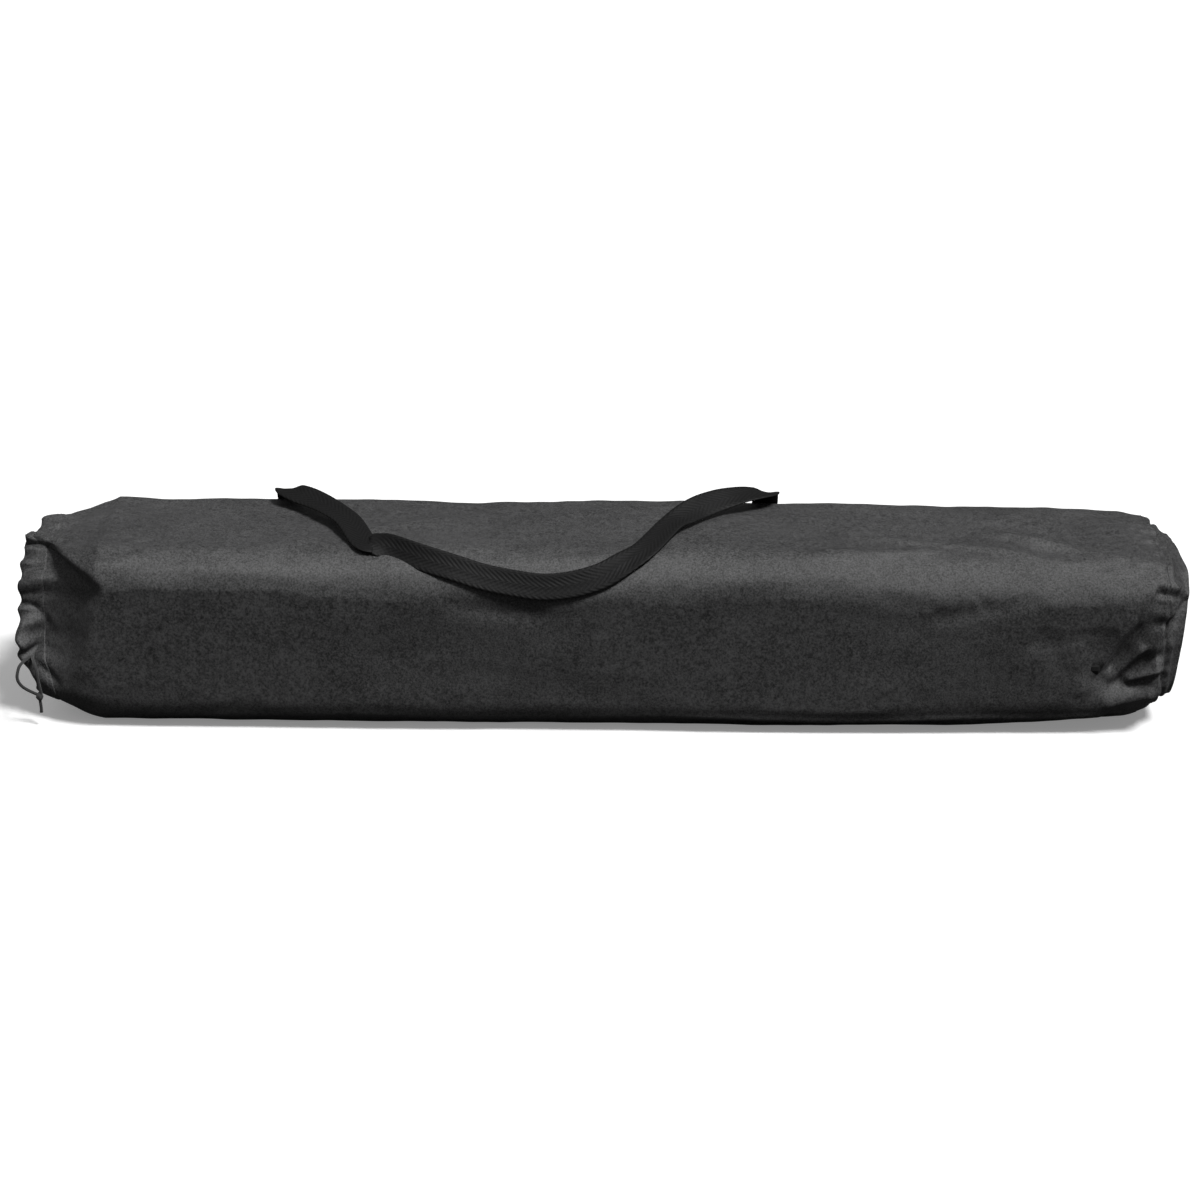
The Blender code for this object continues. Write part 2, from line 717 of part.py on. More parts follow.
def leg_collar(place):
    collar = collar_ring("collar", LEG_COLLAR_START, LEG_COLLAR_LENGTH, BASE_TUBE_RADIUS + RUNNING)
    inner = BASE_TUBE_RADIUS + RUNNING + COLLAR_WALL / 2
    add_forks(collar, LEG_PIN_AT - 0.010, 0.020, inner, LEG_PIN_ORBIT + 0.0055, LEG_PIN_AT, LEG_PIN_ORBIT)
    drill_for_knob(collar, LEG_KNOB_AT)
    place("leg_collar", collar)


def brace_collar(place):
    collar = collar_ring("collar", BRACE_COLLAR_START, BRACE_COLLAR_LENGTH, BASE_TUBE_RADIUS + RUNNING)
    inner = BASE_TUBE_RADIUS + RUNNING + COLLAR_WALL / 2
    add_forks(collar, BRACE_PIN_AT - 0.009, 0.018, inner, BRACE_ORBIT + 0.0042, BRACE_PIN_AT, BRACE_ORBIT)
    place("brace_collar", collar)


def lock_knob(place, name, at, tube_radius):
    """A three-lobed hand knob on a screw that presses on the tube."""
    tip = tube_radius + GAP
    stem = rod("knob", tip, KNOB_HEAD_START + 0.002, KNOB_STEM_RADIUS, finish="black_plastic")
    points = 24
    outline = []
    for i in range(points):
        turn = 2 * math.pi * i / points
        reach = KNOB_RADIUS + KNOB_LOBE * math.cos(3 * turn)
        outline.append((reach * math.cos(turn), reach * math.sin(turn)))
    fuse(stem, extruded("head", outline, KNOB_HEAD_START, KNOB_HEAD_END))
    place(name, placed(stem, knob_place(at)))


def leg(place, name, angle):
    """A leg tube with a tongue at its collar and a lug for its brace."""
    start = FOOT_FLOOR + GAP
    bore = LEG_RADIUS - TUBE_WALL
    tube = turned("leg", [(start, bore), (start, LEG_RADIUS), (LEG_LENGTH, LEG_RADIUS), (LEG_LENGTH, 0),
                          (LEG_LENGTH - 2 * TUBE_WALL, 0), (LEG_LENGTH - 2 * TUBE_WALL, bore)],
                  ROUND - 4, "black_tube")
    placed(tube, Matrix.Translation((0, 0, LEG_ORBIT)))
    half = FORK_GAP / 2 - 0.0004
    reach = 0.0050
    tongue = block("tongue", (LEG_LENGTH - TUBE_WALL, -half, LEG_PIN_ORBIT - reach),
                   (LEG_PIN_AT + 0.007, half, LEG_PIN_ORBIT + reach))
    pin = cross_pin("pin", LEG_PIN_AT, LEG_PIN_ORBIT, PIN_RADIUS, FORK_GAP / 2 + CHEEK + 0.0008)
    fuse(tube, tongue, pin)
    wall_top = LEG_ORBIT - LEG_RADIUS + 0.0028
    for cheek in cheeks(BRACE_TOP_PIN_AT - 0.009, 0.018, BRACE_ORBIT - 0.0035, wall_top):
        fuse(tube, cheek)
    cut(tube, cross_pin("pin_cutter", BRACE_TOP_PIN_AT, BRACE_ORBIT, PIN_RADIUS + RUNNING, FORK_GAP))
    place(name, placed(tube, around(angle)))


def brace(place, name, angle):
    """A flat bar with a pin at each end."""
    half = FORK_GAP / 2 - 0.0004
    thick = BRACE_THICKNESS / 2
    bar = block("bar", (BRACE_PIN_AT - 0.006, -half, BRACE_ORBIT - thick),
                (BRACE_TOP_PIN_AT + 0.006, half, BRACE_ORBIT + thick))
    bar.data.materials.append(MATERIALS["bright_steel"])
    reach = FORK_GAP / 2 + CHEEK + 0.0008
    for at in (BRACE_PIN_AT, BRACE_TOP_PIN_AT):
        fuse(bar, cross_pin("pin", at, BRACE_ORBIT, PIN_RADIUS, reach))
    place(name, placed(bar, around(angle)))


def foot(place, name, angle):
    """A rubber plug in the leg's end, flush with the tube so that the poles beside it slide past."""
    plug = LEG_RADIUS - TUBE_WALL - GAP
    tip = turned("foot", [(0, 0), (0, LEG_RADIUS - 0.002), (0.002, LEG_RADIUS), (FOOT_FLOOR, LEG_RADIUS),
                          (FOOT_FLOOR, plug), (FOOT_LENGTH, plug), (FOOT_LENGTH, 0)], ROUND - 4, "rubber")
    placed(tip, Matrix.Translation((0, 0, LEG_ORBIT)))
    place(name, placed(tip, around(angle)))


SPIGOT_START = UPPER_TUBE_END + GAP
SPIGOT_SHOULDER = 0.004
STUD_START = SPIGOT_START + SPIGOT_SHOULDER + SPIGOT_LENGTH
STAND_LENGTH = STUD_START + STUD_LENGTH
NUT_START = STUD_START + GAP


def spigot(place):
    """A plug in the upper tube that carries the crossbar on its spigot and threaded stud."""
    plug = UPPER_TUBE_RADIUS - TUBE_WALL - RUNNING
    shoulder = SPIGOT_START + SPIGOT_SHOULDER
    groove = shoulder + SPIGOT_LENGTH / 2
    profile = [
        (SPIGOT_START - 0.020, 0), (SPIGOT_START - 0.020, plug), (SPIGOT_START, plug),
        (SPIGOT_START, UPPER_TUBE_RADIUS), (shoulder, UPPER_TUBE_RADIUS), (shoulder, SPIGOT_RADIUS),
        (groove - 0.003, SPIGOT_RADIUS), (groove - 0.002, SPIGOT_RADIUS - 0.0012),
        (groove + 0.002, SPIGOT_RADIUS - 0.0012), (groove + 0.003, SPIGOT_RADIUS),
        (STUD_START, SPIGOT_RADIUS), (STUD_START, STUD_RADIUS),
        (STAND_LENGTH - 0.001, STUD_RADIUS), (STAND_LENGTH, STUD_RADIUS - 0.001), (STAND_LENGTH, 0),
    ]
    place("spigot", turned("spigot", profile, ROUND, "bright_steel"))


def wing_nut(place):
    """A nut with two upright wings that clamps the crossbar down on the spigot."""
    nut = pipe("nut", NUT_START, NUT_START + NUT_HEIGHT, SPIGOT_RADIUS, STUD_RADIUS + RUNNING,
               ROUND, "bright_steel")
    wing = 0.0015
    for side in (-1, 1):
        near, far = side * (STUD_RADIUS + 0.002), side * WING_SPAN / 2
        low, high = min(near, far), max(near, far)
        fuse(nut, block("wing", (NUT_START + 0.001, low, -wing), (NUT_START + NUT_HEIGHT + 0.006, high, wing)))
    place("wing_nut", nut)


def stand(prefix, side):
    """One folded stand, lying along X with its feet at the sewn end and its spigot at the mouth."""
    axis = bpy.data.objects.new(prefix + "_stand", None)
    bpy.context.scene.collection.objects.link(axis)
    axis.location = (STAND_FOOT_X, side * STAND_Y, STAND_Z)
    axis.rotation_euler = (0, 0, math.pi)

    def place(name, thing):
        thing.name = f"{prefix}_{name}"
        thing.parent = axis

    stand_tubes(place)
    lock_collars(place)
    leg_collar(place)
    brace_collar(place)
    lock_knob(place, "leg_collar_knob", LEG_KNOB_AT, BASE_TUBE_RADIUS)
    lock_knob(place, "lower_lock_knob", LOWER_KNOB_AT, BASE_TUBE_RADIUS)
    lock_knob(place, "upper_lock_knob", UPPER_KNOB_AT, MIDDLE_TUBE_RADIUS)
    for number, angle in enumerate(LEG_ANGLES, 1):
        leg(place, f"leg_{number}", angle)
        brace(place, f"brace_{number}", angle)
        foot(place, f"foot_{number}", angle)
    spigot(place)
    wing_nut(place)


# ---------------------------------------------------------------- the crossbar
def bar_low_z():
    """How high the lower pair of tubes lies, in the hollow between the stands' upper legs."""
    leg_y = STAND_Y - LEG_ORBIT * math.cos(math.radians(LEG_ANGLES[1]))
    leg_z = STAND_Z + BAR_LOW_LEG_RISE
    reach = BAR_RADIUS + LEG_RADIUS + GAP
    return leg_z + math.sqrt(reach ** 2 - (BAR_Y - leg_y) ** 2)


def crossbar(number, side, layer, is_end):
    """A tube with a swaged end and a spring button, which plugs into the next tube."""
    bore = BAR_RADIUS - BAR_WALL
    plug = bore - RUNNING
    neck = BAR_LENGTH - SWAGE_LENGTH
    tube = turned("bar", [(0, bore), (0, BAR_RADIUS), (neck, BAR_RADIUS), (neck + 0.003, plug),
                          (BAR_LENGTH, plug), (BAR_LENGTH, plug - BAR_WALL), (neck, plug - BAR_WALL),
                          (neck - 0.003, bore)], ROUND, "black_tube")
    outward = Matrix.Rotation(side * math.pi / 2, 4, "X") @ Matrix.Rotation(-math.pi / 2, 4, "Y")
    button = rod("button", plug - BAR_WALL / 2, plug + BUTTON_HEIGHT, BUTTON_RADIUS)
    fuse(tube, placed(button, Matrix.Translation((neck + SWAGE_LENGTH / 2, 0, 0)) @ outward))
    if is_end:
        hole = rod("hole_cutter", -BAR_RADIUS * 1.5, BAR_RADIUS * 1.5, SPIGOT_RADIUS + RUNNING, ROUND - 4)
        at = SPIGOT_HOLE_INSET
    else:
        hole = rod("hole_cutter", 0, BAR_RADIUS * 1.5, BUTTON_RADIUS + RUNNING)
        at = SWAGE_LENGTH / 2
    cut(tube, placed(hole, Matrix.Translation((at, 0, 0)) @ outward))
    tube.name = f"crossbar_{number}"
    tube.location = (SEWN_X - BAR_BACKSET, side * BAR_Y, bar_low_z() + layer * (2 * BAR_RADIUS + GAP))
    tube.rotation_euler = (0, 0, math.pi)


# ---------------------------------------------------------------- everything
clear_scene()
MATERIALS = materials()
bag_wrap()
bag_base()
bag_end_panel()
mouth_gusset()
mouth_hem()
drawcord()
drawcord_tails()
drawcord_knot()
strap_anchor("handle_anchor_left", ANCHOR_LEFT)
strap_anchor("handle_anchor_right", ANCHOR_RIGHT)
handle_strap()
stand("front", -1)
stand("rear", 1)
crossbar(1, -1, 0, True)
crossbar(2, 1, 0, False)
crossbar(3, -1, 1, False)
crossbar(4, 1, 1, True)
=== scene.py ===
"""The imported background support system's looks: bag cloth, hem, webbing, cord, metal, camera and studio."""

import json
import math

import bmesh
import bpy
import numpy as np
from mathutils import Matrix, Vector, noise


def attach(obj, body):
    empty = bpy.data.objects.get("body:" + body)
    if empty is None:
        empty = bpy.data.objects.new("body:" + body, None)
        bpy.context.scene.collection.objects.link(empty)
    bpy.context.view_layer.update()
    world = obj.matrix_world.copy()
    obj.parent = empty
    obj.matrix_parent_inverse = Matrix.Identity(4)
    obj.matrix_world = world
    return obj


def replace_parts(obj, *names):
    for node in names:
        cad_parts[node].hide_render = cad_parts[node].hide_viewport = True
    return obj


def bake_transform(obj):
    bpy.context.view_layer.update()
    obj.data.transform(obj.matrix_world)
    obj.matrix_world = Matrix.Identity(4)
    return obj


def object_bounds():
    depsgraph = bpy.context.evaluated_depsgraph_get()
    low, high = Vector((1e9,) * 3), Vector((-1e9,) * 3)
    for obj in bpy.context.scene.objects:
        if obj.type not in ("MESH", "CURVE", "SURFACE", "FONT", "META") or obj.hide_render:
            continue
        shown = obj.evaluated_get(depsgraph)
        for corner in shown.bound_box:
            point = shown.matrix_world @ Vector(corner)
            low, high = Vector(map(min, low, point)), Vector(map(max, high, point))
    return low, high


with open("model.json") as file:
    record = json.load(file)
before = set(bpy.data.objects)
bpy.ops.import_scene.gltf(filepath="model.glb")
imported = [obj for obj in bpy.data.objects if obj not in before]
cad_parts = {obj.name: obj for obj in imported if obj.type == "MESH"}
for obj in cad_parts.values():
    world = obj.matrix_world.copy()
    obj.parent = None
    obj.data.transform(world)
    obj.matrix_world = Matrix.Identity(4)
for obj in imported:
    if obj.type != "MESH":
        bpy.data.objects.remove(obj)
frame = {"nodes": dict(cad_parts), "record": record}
CAD_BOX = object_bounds()
NODES = frame["nodes"]

# ---------------------------------------------------------------- sizes, in metres
SHEET = 0.0011                      # the bag cloth as modelled
HEM_START = -0.5255                 # where the hem's stitching ends and the plain cloth starts
MOUTH = -0.5470
SEAM_X = 0.5286                     # the seam between the bag's body and its end panel
SEWN = 0.5490
CORD_RADIUS = 0.0015
STRAP_HALF = 0.0125
STRAP_THICK = 0.0017
SECTION_MIDDLE = 0.088              # the height that gathers and puckers fan out from
SKIN_TOP = 0.1775                   # the cloth stays below this height
BOX_MARGIN = 0.0004                 # and this far inside the CAD's box


def smooth(a, b, x):
    t = np.clip((x - a) / (b - a), 0.0, 1.0)
    return t * t * (3 - 2 * t)


def lerp(a, b, t):
    return a + (b - a) * t


def bell(x, middle, width):
    return np.exp(-((x - middle) / width) ** 2)


# ---------------------------------------------------------------- the bag's shape
# Steps round the section: front, its top corner, top, back top, back, low back, base, low front.
SIDES = (46, 40, 44, 22, 30, 16, 30, 22)


def outline(x):
    """The section's plain outline at each x: arrays of y and z, and where each point sits round it."""
    x = np.asarray(x)
    mouth = np.clip((-0.468 - x) / 0.078, 0, 1) ** 1.15
    sewn = smooth(0.16, 0.50, x)
    tip = smooth(SEAM_X - 0.006, SEWN, x)
    bulge = 0.0016 * np.sin(x * 9.0 + 0.6)
    front = -0.0952 - 0.0006 * np.sin(x * 13) + mouth * 0.0160 + smooth(0.47, SEAM_X, x) * 0.0040 + tip * 0.017
    back = 0.0952 + 0.0006 * np.sin(x * 8 + 2) - mouth * 0.0180 - smooth(0.46, SEAM_X, x) * 0.007 - tip * 0.014
    top = (
        0.1748 + bulge * 0.6 - mouth ** 0.6 * 0.0200
        - sewn * 0.0050 - smooth(0.50, SEAM_X, x) * 0.004 - tip * 0.011
    )
    low = (
        0.0008 + mouth * 0.0210
        + smooth(0.32, 0.50, x) * 0.0105 + smooth(0.498, 0.549, x) * 0.013 + tip * 0.002
    )
    under_strap = smooth(-0.32, -0.23, x) * (1 - smooth(0.07, 0.16, x))
    r_front_top = lerp(0.041 + 0.006 * under_strap, 0.038, mouth) - 0.008 * smooth(0.42, 0.52, x)
    r_back_top = lerp(0.038, 0.036, mouth)
    r_low_back = lerp(0.033, 0.036, mouth)
    r_low_front = lerp(0.033, 0.030, mouth) + 0.003 * smooth(0.42, 0.52, x)
    corners = (
        (front + r_front_top, top - r_front_top, r_front_top, 180, 90),
        (back - r_back_top, top - r_back_top, r_back_top, 90, 0),
        (back - r_low_back, low + r_low_back, r_low_back, 0, -90),
        (front + r_low_front, low + r_low_front, r_low_front, -90, -180),
    )
    arcs = []
    for (cy, cz, r, start, end), steps in zip(corners, (SIDES[1], SIDES[3], SIDES[5], SIDES[7])):
        a = np.radians(np.linspace(start, end, steps + 1))
        arcs.append((cy[:, None] + r[:, None] * np.cos(a), cz[:, None] + r[:, None] * np.sin(a)))
    ys, zs = [], []
    for k, steps in enumerate((SIDES[2], SIDES[4], SIDES[6], SIDES[0])):
        ys.append(arcs[k][0])
        zs.append(arcs[k][1])
        after = arcs[(k + 1) % 4]
        t = np.linspace(0, 1, steps + 1)[1:-1]
        ys.append(lerp(arcs[k][0][:, -1:], after[0][:, :1], t))
        zs.append(lerp(arcs[k][1][:, -1:], after[1][:, :1], t))
    return np.concatenate(ys, 1), np.concatenate(zs, 1)


def plain_surface(x):
    """The outline at each x, with the mouth's and the sewn end's edges drawn back where the cloth is."""
    y, z = outline(x)
    xx = np.repeat(np.asarray(x)[:, None], y.shape[1], 1)
    high = smooth(0.105, 0.160, z)
    low = 1 - smooth(0.018, 0.075, z)
    rear = smooth(-0.06, 0.07, y)
    at_mouth = smooth(-0.475, MOUTH, xx)
    xx = xx + at_mouth * (0.0020 * high + 0.0060 * high * rear + 0.0160 * low + 0.002 * rear)
    at_end = smooth(0.45, SEWN, xx)
    slant = np.clip((0.140 - z) / 0.140, 0, 1)
    xx = xx - at_end * (0.002 * high * rear + 0.004 * rear + 0.013 * slant)
    return np.stack([xx, y, z], -1)


def normals(p):
    along = np.gradient(p, axis=0)
    round_ = np.roll(p, -1, 1) - np.roll(p, 1, 1)
    n = np.cross(round_, along)
    n /= np.linalg.norm(n, axis=-1, keepdims=True) + 1e-12
    middle = p.mean(axis=1, keepdims=True)
    flip = np.sign(((p - middle) * n).sum(-1).mean())
    return n * flip


def near_line(p, a, b):
    """Each point's distance from the line a-b, and how far along it the nearest place is."""
    a, b = np.array(a), np.array(b)
    d = b - a
    t = np.clip(((p - a) @ d) / (d @ d), 0, 1)
    return np.linalg.norm(p - (a + t[..., None] * d), axis=-1), t


def crease(p, a, b, width, height, ends=0.18):
    """A soft ridge (height above 0) or valley along a line, dying away at its ends."""
    distance, t = near_line(p, a, b)
    fade = np.minimum(smooth(0, ends, t), 1 - smooth(1 - ends, 1, t))
    return height * fade * np.exp(-(distance / width) ** 2)


def fold(p, a, b, width, height, ends=0.2):
    """A pinched fold: a sharp ridge with a shallow valley beside it on its lower side."""
    distance, t = near_line(p, a, b)
    a, b = np.array(a), np.array(b)
    across = np.cross(b - a, np.array([0, -1.0, 0.35]))
    across /= np.linalg.norm(across)
    nearest = a + t[..., None] * (b - a)
    side = ((p - nearest) @ across) * (-1 if across[2] > 0 else 1)
    fade = np.minimum(smooth(0, ends, t), 1 - smooth(1 - ends, 1, t))
    ridge = np.exp(-np.abs(distance / width) ** 1.25)
    valley = np.exp(-((side - width * 1.3) / width) ** 2) * (distance < width * 5)
    return height * fade * (ridge - 0.75 * valley)


CREASES = (
    # a, b, width, height
    ((0.350, -0.002, 0.172), (0.535, -0.080, 0.156), 0.0060, 0.0062),
    ((0.395, -0.038, 0.172), (0.520, -0.088, 0.140), 0.0100, -0.0024),
    ((0.296, -0.094, 0.122), (0.350, -0.066, 0.162), 0.0060, 0.0042),
    ((0.346, -0.090, 0.132), (0.392, -0.070, 0.158), 0.0090, -0.0036),
    ((0.255, -0.086, 0.142), (0.318, -0.094, 0.128), 0.0080, -0.0016),
    ((-0.512, -0.040, 0.164), (-0.452, -0.088, 0.148), 0.0055, 0.0042),
    ((-0.515, -0.056, 0.138), (-0.470, -0.088, 0.118), 0.0100, -0.0030),
    ((-0.470, -0.075, 0.158), (-0.330, -0.060, 0.168), 0.0100, 0.0016),
    ((-0.520, 0.000, 0.160), (-0.400, -0.030, 0.172), 0.0060, 0.0018),
    ((-0.505, 0.020, 0.162), (-0.420, 0.030, 0.174), 0.0045, 0.0012),
    ((-0.495, 0.035, 0.164), (-0.430, 0.045, 0.172), 0.0040, 0.0010),
    ((-0.150, -0.090, 0.132), (-0.040, -0.095, 0.122), 0.0090, -0.0020),
    ((-0.060, -0.094, 0.128), (0.060, -0.080, 0.150), 0.0080, 0.0016),
    ((-0.330, 0.050, 0.174), (-0.240, 0.000, 0.174), 0.0080, 0.0014),
    ((0.130, 0.055, 0.174), (0.030, 0.010, 0.174), 0.0080, 0.0016),
    ((0.170, 0.060, 0.172), (0.210, 0.000, 0.172), 0.0070, 0.0012),
    ((-0.330, -0.060, 0.170), (-0.240, -0.030, 0.174), 0.0070, 0.0018),
    ((-0.235, -0.020, 0.174), (-0.120, 0.020, 0.174), 0.0080, 0.0020),
    ((0.020, -0.060, 0.172), (0.120, -0.020, 0.174), 0.0070, 0.0022),
    ((0.180, -0.070, 0.168), (0.330, -0.050, 0.172), 0.0080, 0.0024),
    ((0.230, -0.020, 0.174), (0.420, -0.060, 0.170), 0.0060, 0.0030),
    ((0.100, -0.088, 0.150), (0.260, -0.080, 0.158), 0.0060, 0.0016),
    ((-0.420, -0.080, 0.160), (-0.260, -0.086, 0.152), 0.0060, 0.0014),
    ((0.300, -0.094, 0.120), (0.420, -0.090, 0.140), 0.0090, -0.0020),
    ((-0.420, -0.095, 0.060), (-0.300, -0.095, 0.045), 0.0120, 0.0012),
    ((0.120, -0.095, 0.050), (0.300, -0.095, 0.034), 0.0130, 0.0014),
    ((0.400, -0.095, 0.110), (0.455, -0.095, 0.060), 0.0140, -0.0020),
    ((0.440, -0.095, 0.100), (0.452, -0.094, 0.040), 0.0110, 0.0022),
    ((0.430, 0.092, 0.140), (0.520, 0.080, 0.070), 0.0100, 0.0028),
    ((0.380, 0.094, 0.060), (0.500, 0.086, 0.100), 0.0100, -0.0022),
    ((-0.500, 0.080, 0.140), (-0.420, 0.094, 0.100), 0.0090, 0.0024),
    ((-0.510, 0.080, 0.060), (-0.400, 0.095, 0.080), 0.0090, -0.0022),
    ((-0.150, 0.095, 0.120), (0.080, 0.095, 0.100), 0.0120, 0.0014),
)
FOLDS = (
    ((0.497, -0.093, 0.126), (0.466, -0.095, 0.066), 0.0062, 0.0060),
    ((0.511, -0.092, 0.096), (0.474, -0.094, 0.052), 0.0052, 0.0055),
    ((0.530, -0.090, 0.072), (0.488, -0.093, 0.056), 0.0046, 0.0060),
    ((0.524, -0.086, 0.044), (0.468, -0.092, 0.032), 0.0060, 0.0045),
    ((0.527, -0.092, 0.118), (0.514, -0.093, 0.078), 0.0042, 0.0048),
    ((0.512, -0.084, 0.152), (0.549, -0.076, 0.142), 0.0044, 0.0056),
    ((0.546, -0.078, 0.144), (0.527, -0.092, 0.116), 0.0040, 0.0050),
    ((-0.536, -0.070, 0.066), (-0.500, -0.082, 0.040), 0.0050, 0.0042),
    ((-0.534, -0.072, 0.112), (-0.512, -0.080, 0.092), 0.0046, 0.0036),
)


def wrinkles(p, n):
    """How far each point stands out from the plain surface."""
    x, y, z = p[..., 0], p[..., 1], p[..., 2]
    out = np.zeros(x.shape)
    for a, b, width, height in CREASES:
        out += crease(p, a, b, width, height)
    for a, b, width, height in FOLDS:
        out += fold(p, a, b, width, height)
    facing_front = smooth(-0.2, 0.75, -n[..., 1])
    # The front is drawn into a hollow near the sewn end's lower corner.
    hollow = smooth(0.122, 0.074, z) * smooth(0.026, 0.064, z) * bell(x, 0.482, 0.028)
    out -= 0.0120 * facing_front * hollow
    # The cloth is slack between the poles that fill it.
    flat_x, flat_y, flat_z = x.ravel(), y.ravel(), z.ravel()
    drift = np.fromiter(
        (
            noise.noise(Vector((a * 5.5, b * 16.0, c * 16.0)))
            + 0.45 * noise.noise(Vector((a * 17.0 + 9, b * 38.0, c * 38.0)))
            + 0.22 * noise.noise(Vector((a * 46.0 + 3, b * 70.0, c * 70.0)))
            for a, b, c in zip(flat_x, flat_y, flat_z)
        ),
        float,
        flat_x.size,
    ).reshape(x.shape)
    edge = smooth(0.36, 0.50, x) + smooth(-0.40, -0.50, x)
    out += drift * (0.0017 + 0.0018 * edge + 0.0018 * smooth(0.3, 0.9, n[..., 2]))
    # Gathers run back from the drawn mouth.
    turn = np.arctan2(z - SECTION_MIDDLE, y)
    pull = smooth(-0.478, -0.535, x)
    waves = np.sin(turn * 19 + 2.0 * np.sin(turn * 3)) + 0.5 * np.sin(turn * 31 + 1.0)
    out += pull * waves * (0.0012 + 0.0018 * smooth(0.11, 0.15, z))
    # Puckers run in from the end panel's seam.
    pucker = np.sin(turn * 23 + 1.3 * np.sin(turn * 5)) + 0.6 * np.sin(turn * 37)
    out += 0.0009 * pucker * bell(x, SEAM_X - 0.006, 0.014)
    # The end panel's seam is a narrow groove between two rolled edges.
    out -= 0.0024 * bell(x, SEAM_X, 0.0013)
    out += 0.0010 * (bell(x, SEAM_X - 0.004, 0.0022) + bell(x, SEAM_X + 0.004, 0.0022))
    # The base's seam stands out as a ledge along the low front, mostly towards the sewn end.
    ledge = smooth(0.02, 0.20, x) * (1 - smooth(0.492, 0.506, x)) + 0.35 * smooth(-0.46, -0.40, x)
    seam_z = 0.0145 + 0.0015 * np.sin(x * 21) + 0.006 * smooth(0.38, 0.49, x)
    low_front = (y < -0.04)
    lip = 0.0019 * bell(z, seam_z + 0.002, 0.0026)
    under = 0.0036 * smooth(seam_z, seam_z - 0.003, z) * smooth(-0.075, -0.085, y)
    out += low_front * np.clip(ledge, 0, 1) * (lip - under)
    # Stand feet and pole ends press outwards a little.
    out += 0.0012 * bell(x, 0.45, 0.03) * (bell(z, 0.07, 0.02) * (np.abs(y) > 0.08))
    return out


def tuck(p):
    """How far the cloth is drawn back beside the mouth, under a crease that runs down from the top."""
    x, y, z = p[..., 0], p[..., 1], p[..., 2]
    edge_x = np.interp(z, [0.02, 0.045, 0.146, 0.17], [-0.515, -0.494, -0.4565, -0.470])
    depth = np.clip(edge_x - x, 0, None)
    crease_height = np.interp(x, [-0.545, -0.515, -0.4565], [0.1500, 0.1402, 0.1017])
    below = crease_height - (z * 0.924 + y * 0.383)
    amount = np.minimum(np.minimum(depth * 1.1, 0.010 + depth * 0.55), 0.036)
    amount = amount * smooth(0.0, 0.022, below) * smooth(0.016, 0.094, z)
    eased = 1 - 0.85 * smooth(0.045, 0.070, depth) * smooth(0.110, 0.070, z)
    return amount * eased * smooth(0.005, -0.035, y)


def skin(x):
    """The bag's outer surface: a row of points round it for each x, and each point's outward direction."""
    p = plain_surface(x)
    n = normals(p)
    shift = tuck(p)
    p = p + n * wrinkles(p, n)[..., None]
    p[..., 1] += shift
    (low, high) = (Vector(v) for v in CAD_BOX)
    p[..., 1] = np.clip(p[..., 1], low.y + BOX_MARGIN, high.y - BOX_MARGIN)
    p[..., 2] = np.clip(p[..., 2], 0.0003, SKIN_TOP)
    p[..., 0] = np.clip(p[..., 0], low.x + BOX_MARGIN, high.x - BOX_MARGIN)
    return p, normals(p)


# ---------------------------------------------------------------- mesh helpers
def grid_mesh(name, rows, ring=True, uv=None, cap_first=False, cap_last=False):
    """A mesh through rows of points; ring joins each row's ends."""
    rows = np.asarray(rows)
    count, wide = rows.shape[:2]
    verts = rows.reshape(-1, 3)
    faces = []
    for i in range(count - 1):
        for j in range(wide if ring else wide - 1):
            k = (j + 1) % wide
            faces.append((i * wide + j, i * wide + k, (i + 1) * wide + k, (i + 1) * wide + j))
    if cap_first:
        faces.append(tuple(range(wide))[::-1])
    if cap_last:
        faces.append(tuple((count - 1) * wide + j for j in range(wide)))
    mesh = bpy.data.meshes.new(name)
    mesh.from_pydata(verts.tolist(), [], faces)
    mesh.update()
    if uv is not None:
        layer = mesh.uv_layers.new(name="cloth")
        u, v = uv
        coords = np.empty((len(mesh.loops), 2))
        index = np.empty(len(mesh.loops), int)
        mesh.loops.foreach_get("vertex_index", index)
        coords[:, 0] = np.asarray(u).reshape(-1)[index]
        coords[:, 1] = np.asarray(v).reshape(-1)[index]
        layer.data.foreach_set("uv", coords.ravel())
    mesh.shade_smooth()
    thing = bpy.data.objects.new(name, mesh)
    bpy.context.scene.collection.objects.link(thing)
    return thing


def outward(thing):
    bm = bmesh.new()
    bm.from_mesh(thing.data)
    bmesh.ops.recalc_face_normals(bm, faces=bm.faces)
    bm.to_mesh(thing.data)
    bm.free()
    thing.data.shade_smooth()
    return thing


def cloth_uv(p):
    """Threads run along the bag and round it: metres along, metres round."""
    step = np.linalg.norm(np.roll(p, -1, 1) - p, axis=-1).mean(0)
    round_ = np.concatenate([[0], np.cumsum(step)[:-1]])
    return p[..., 0], np.repeat(round_[None, :], p.shape[0], 0)


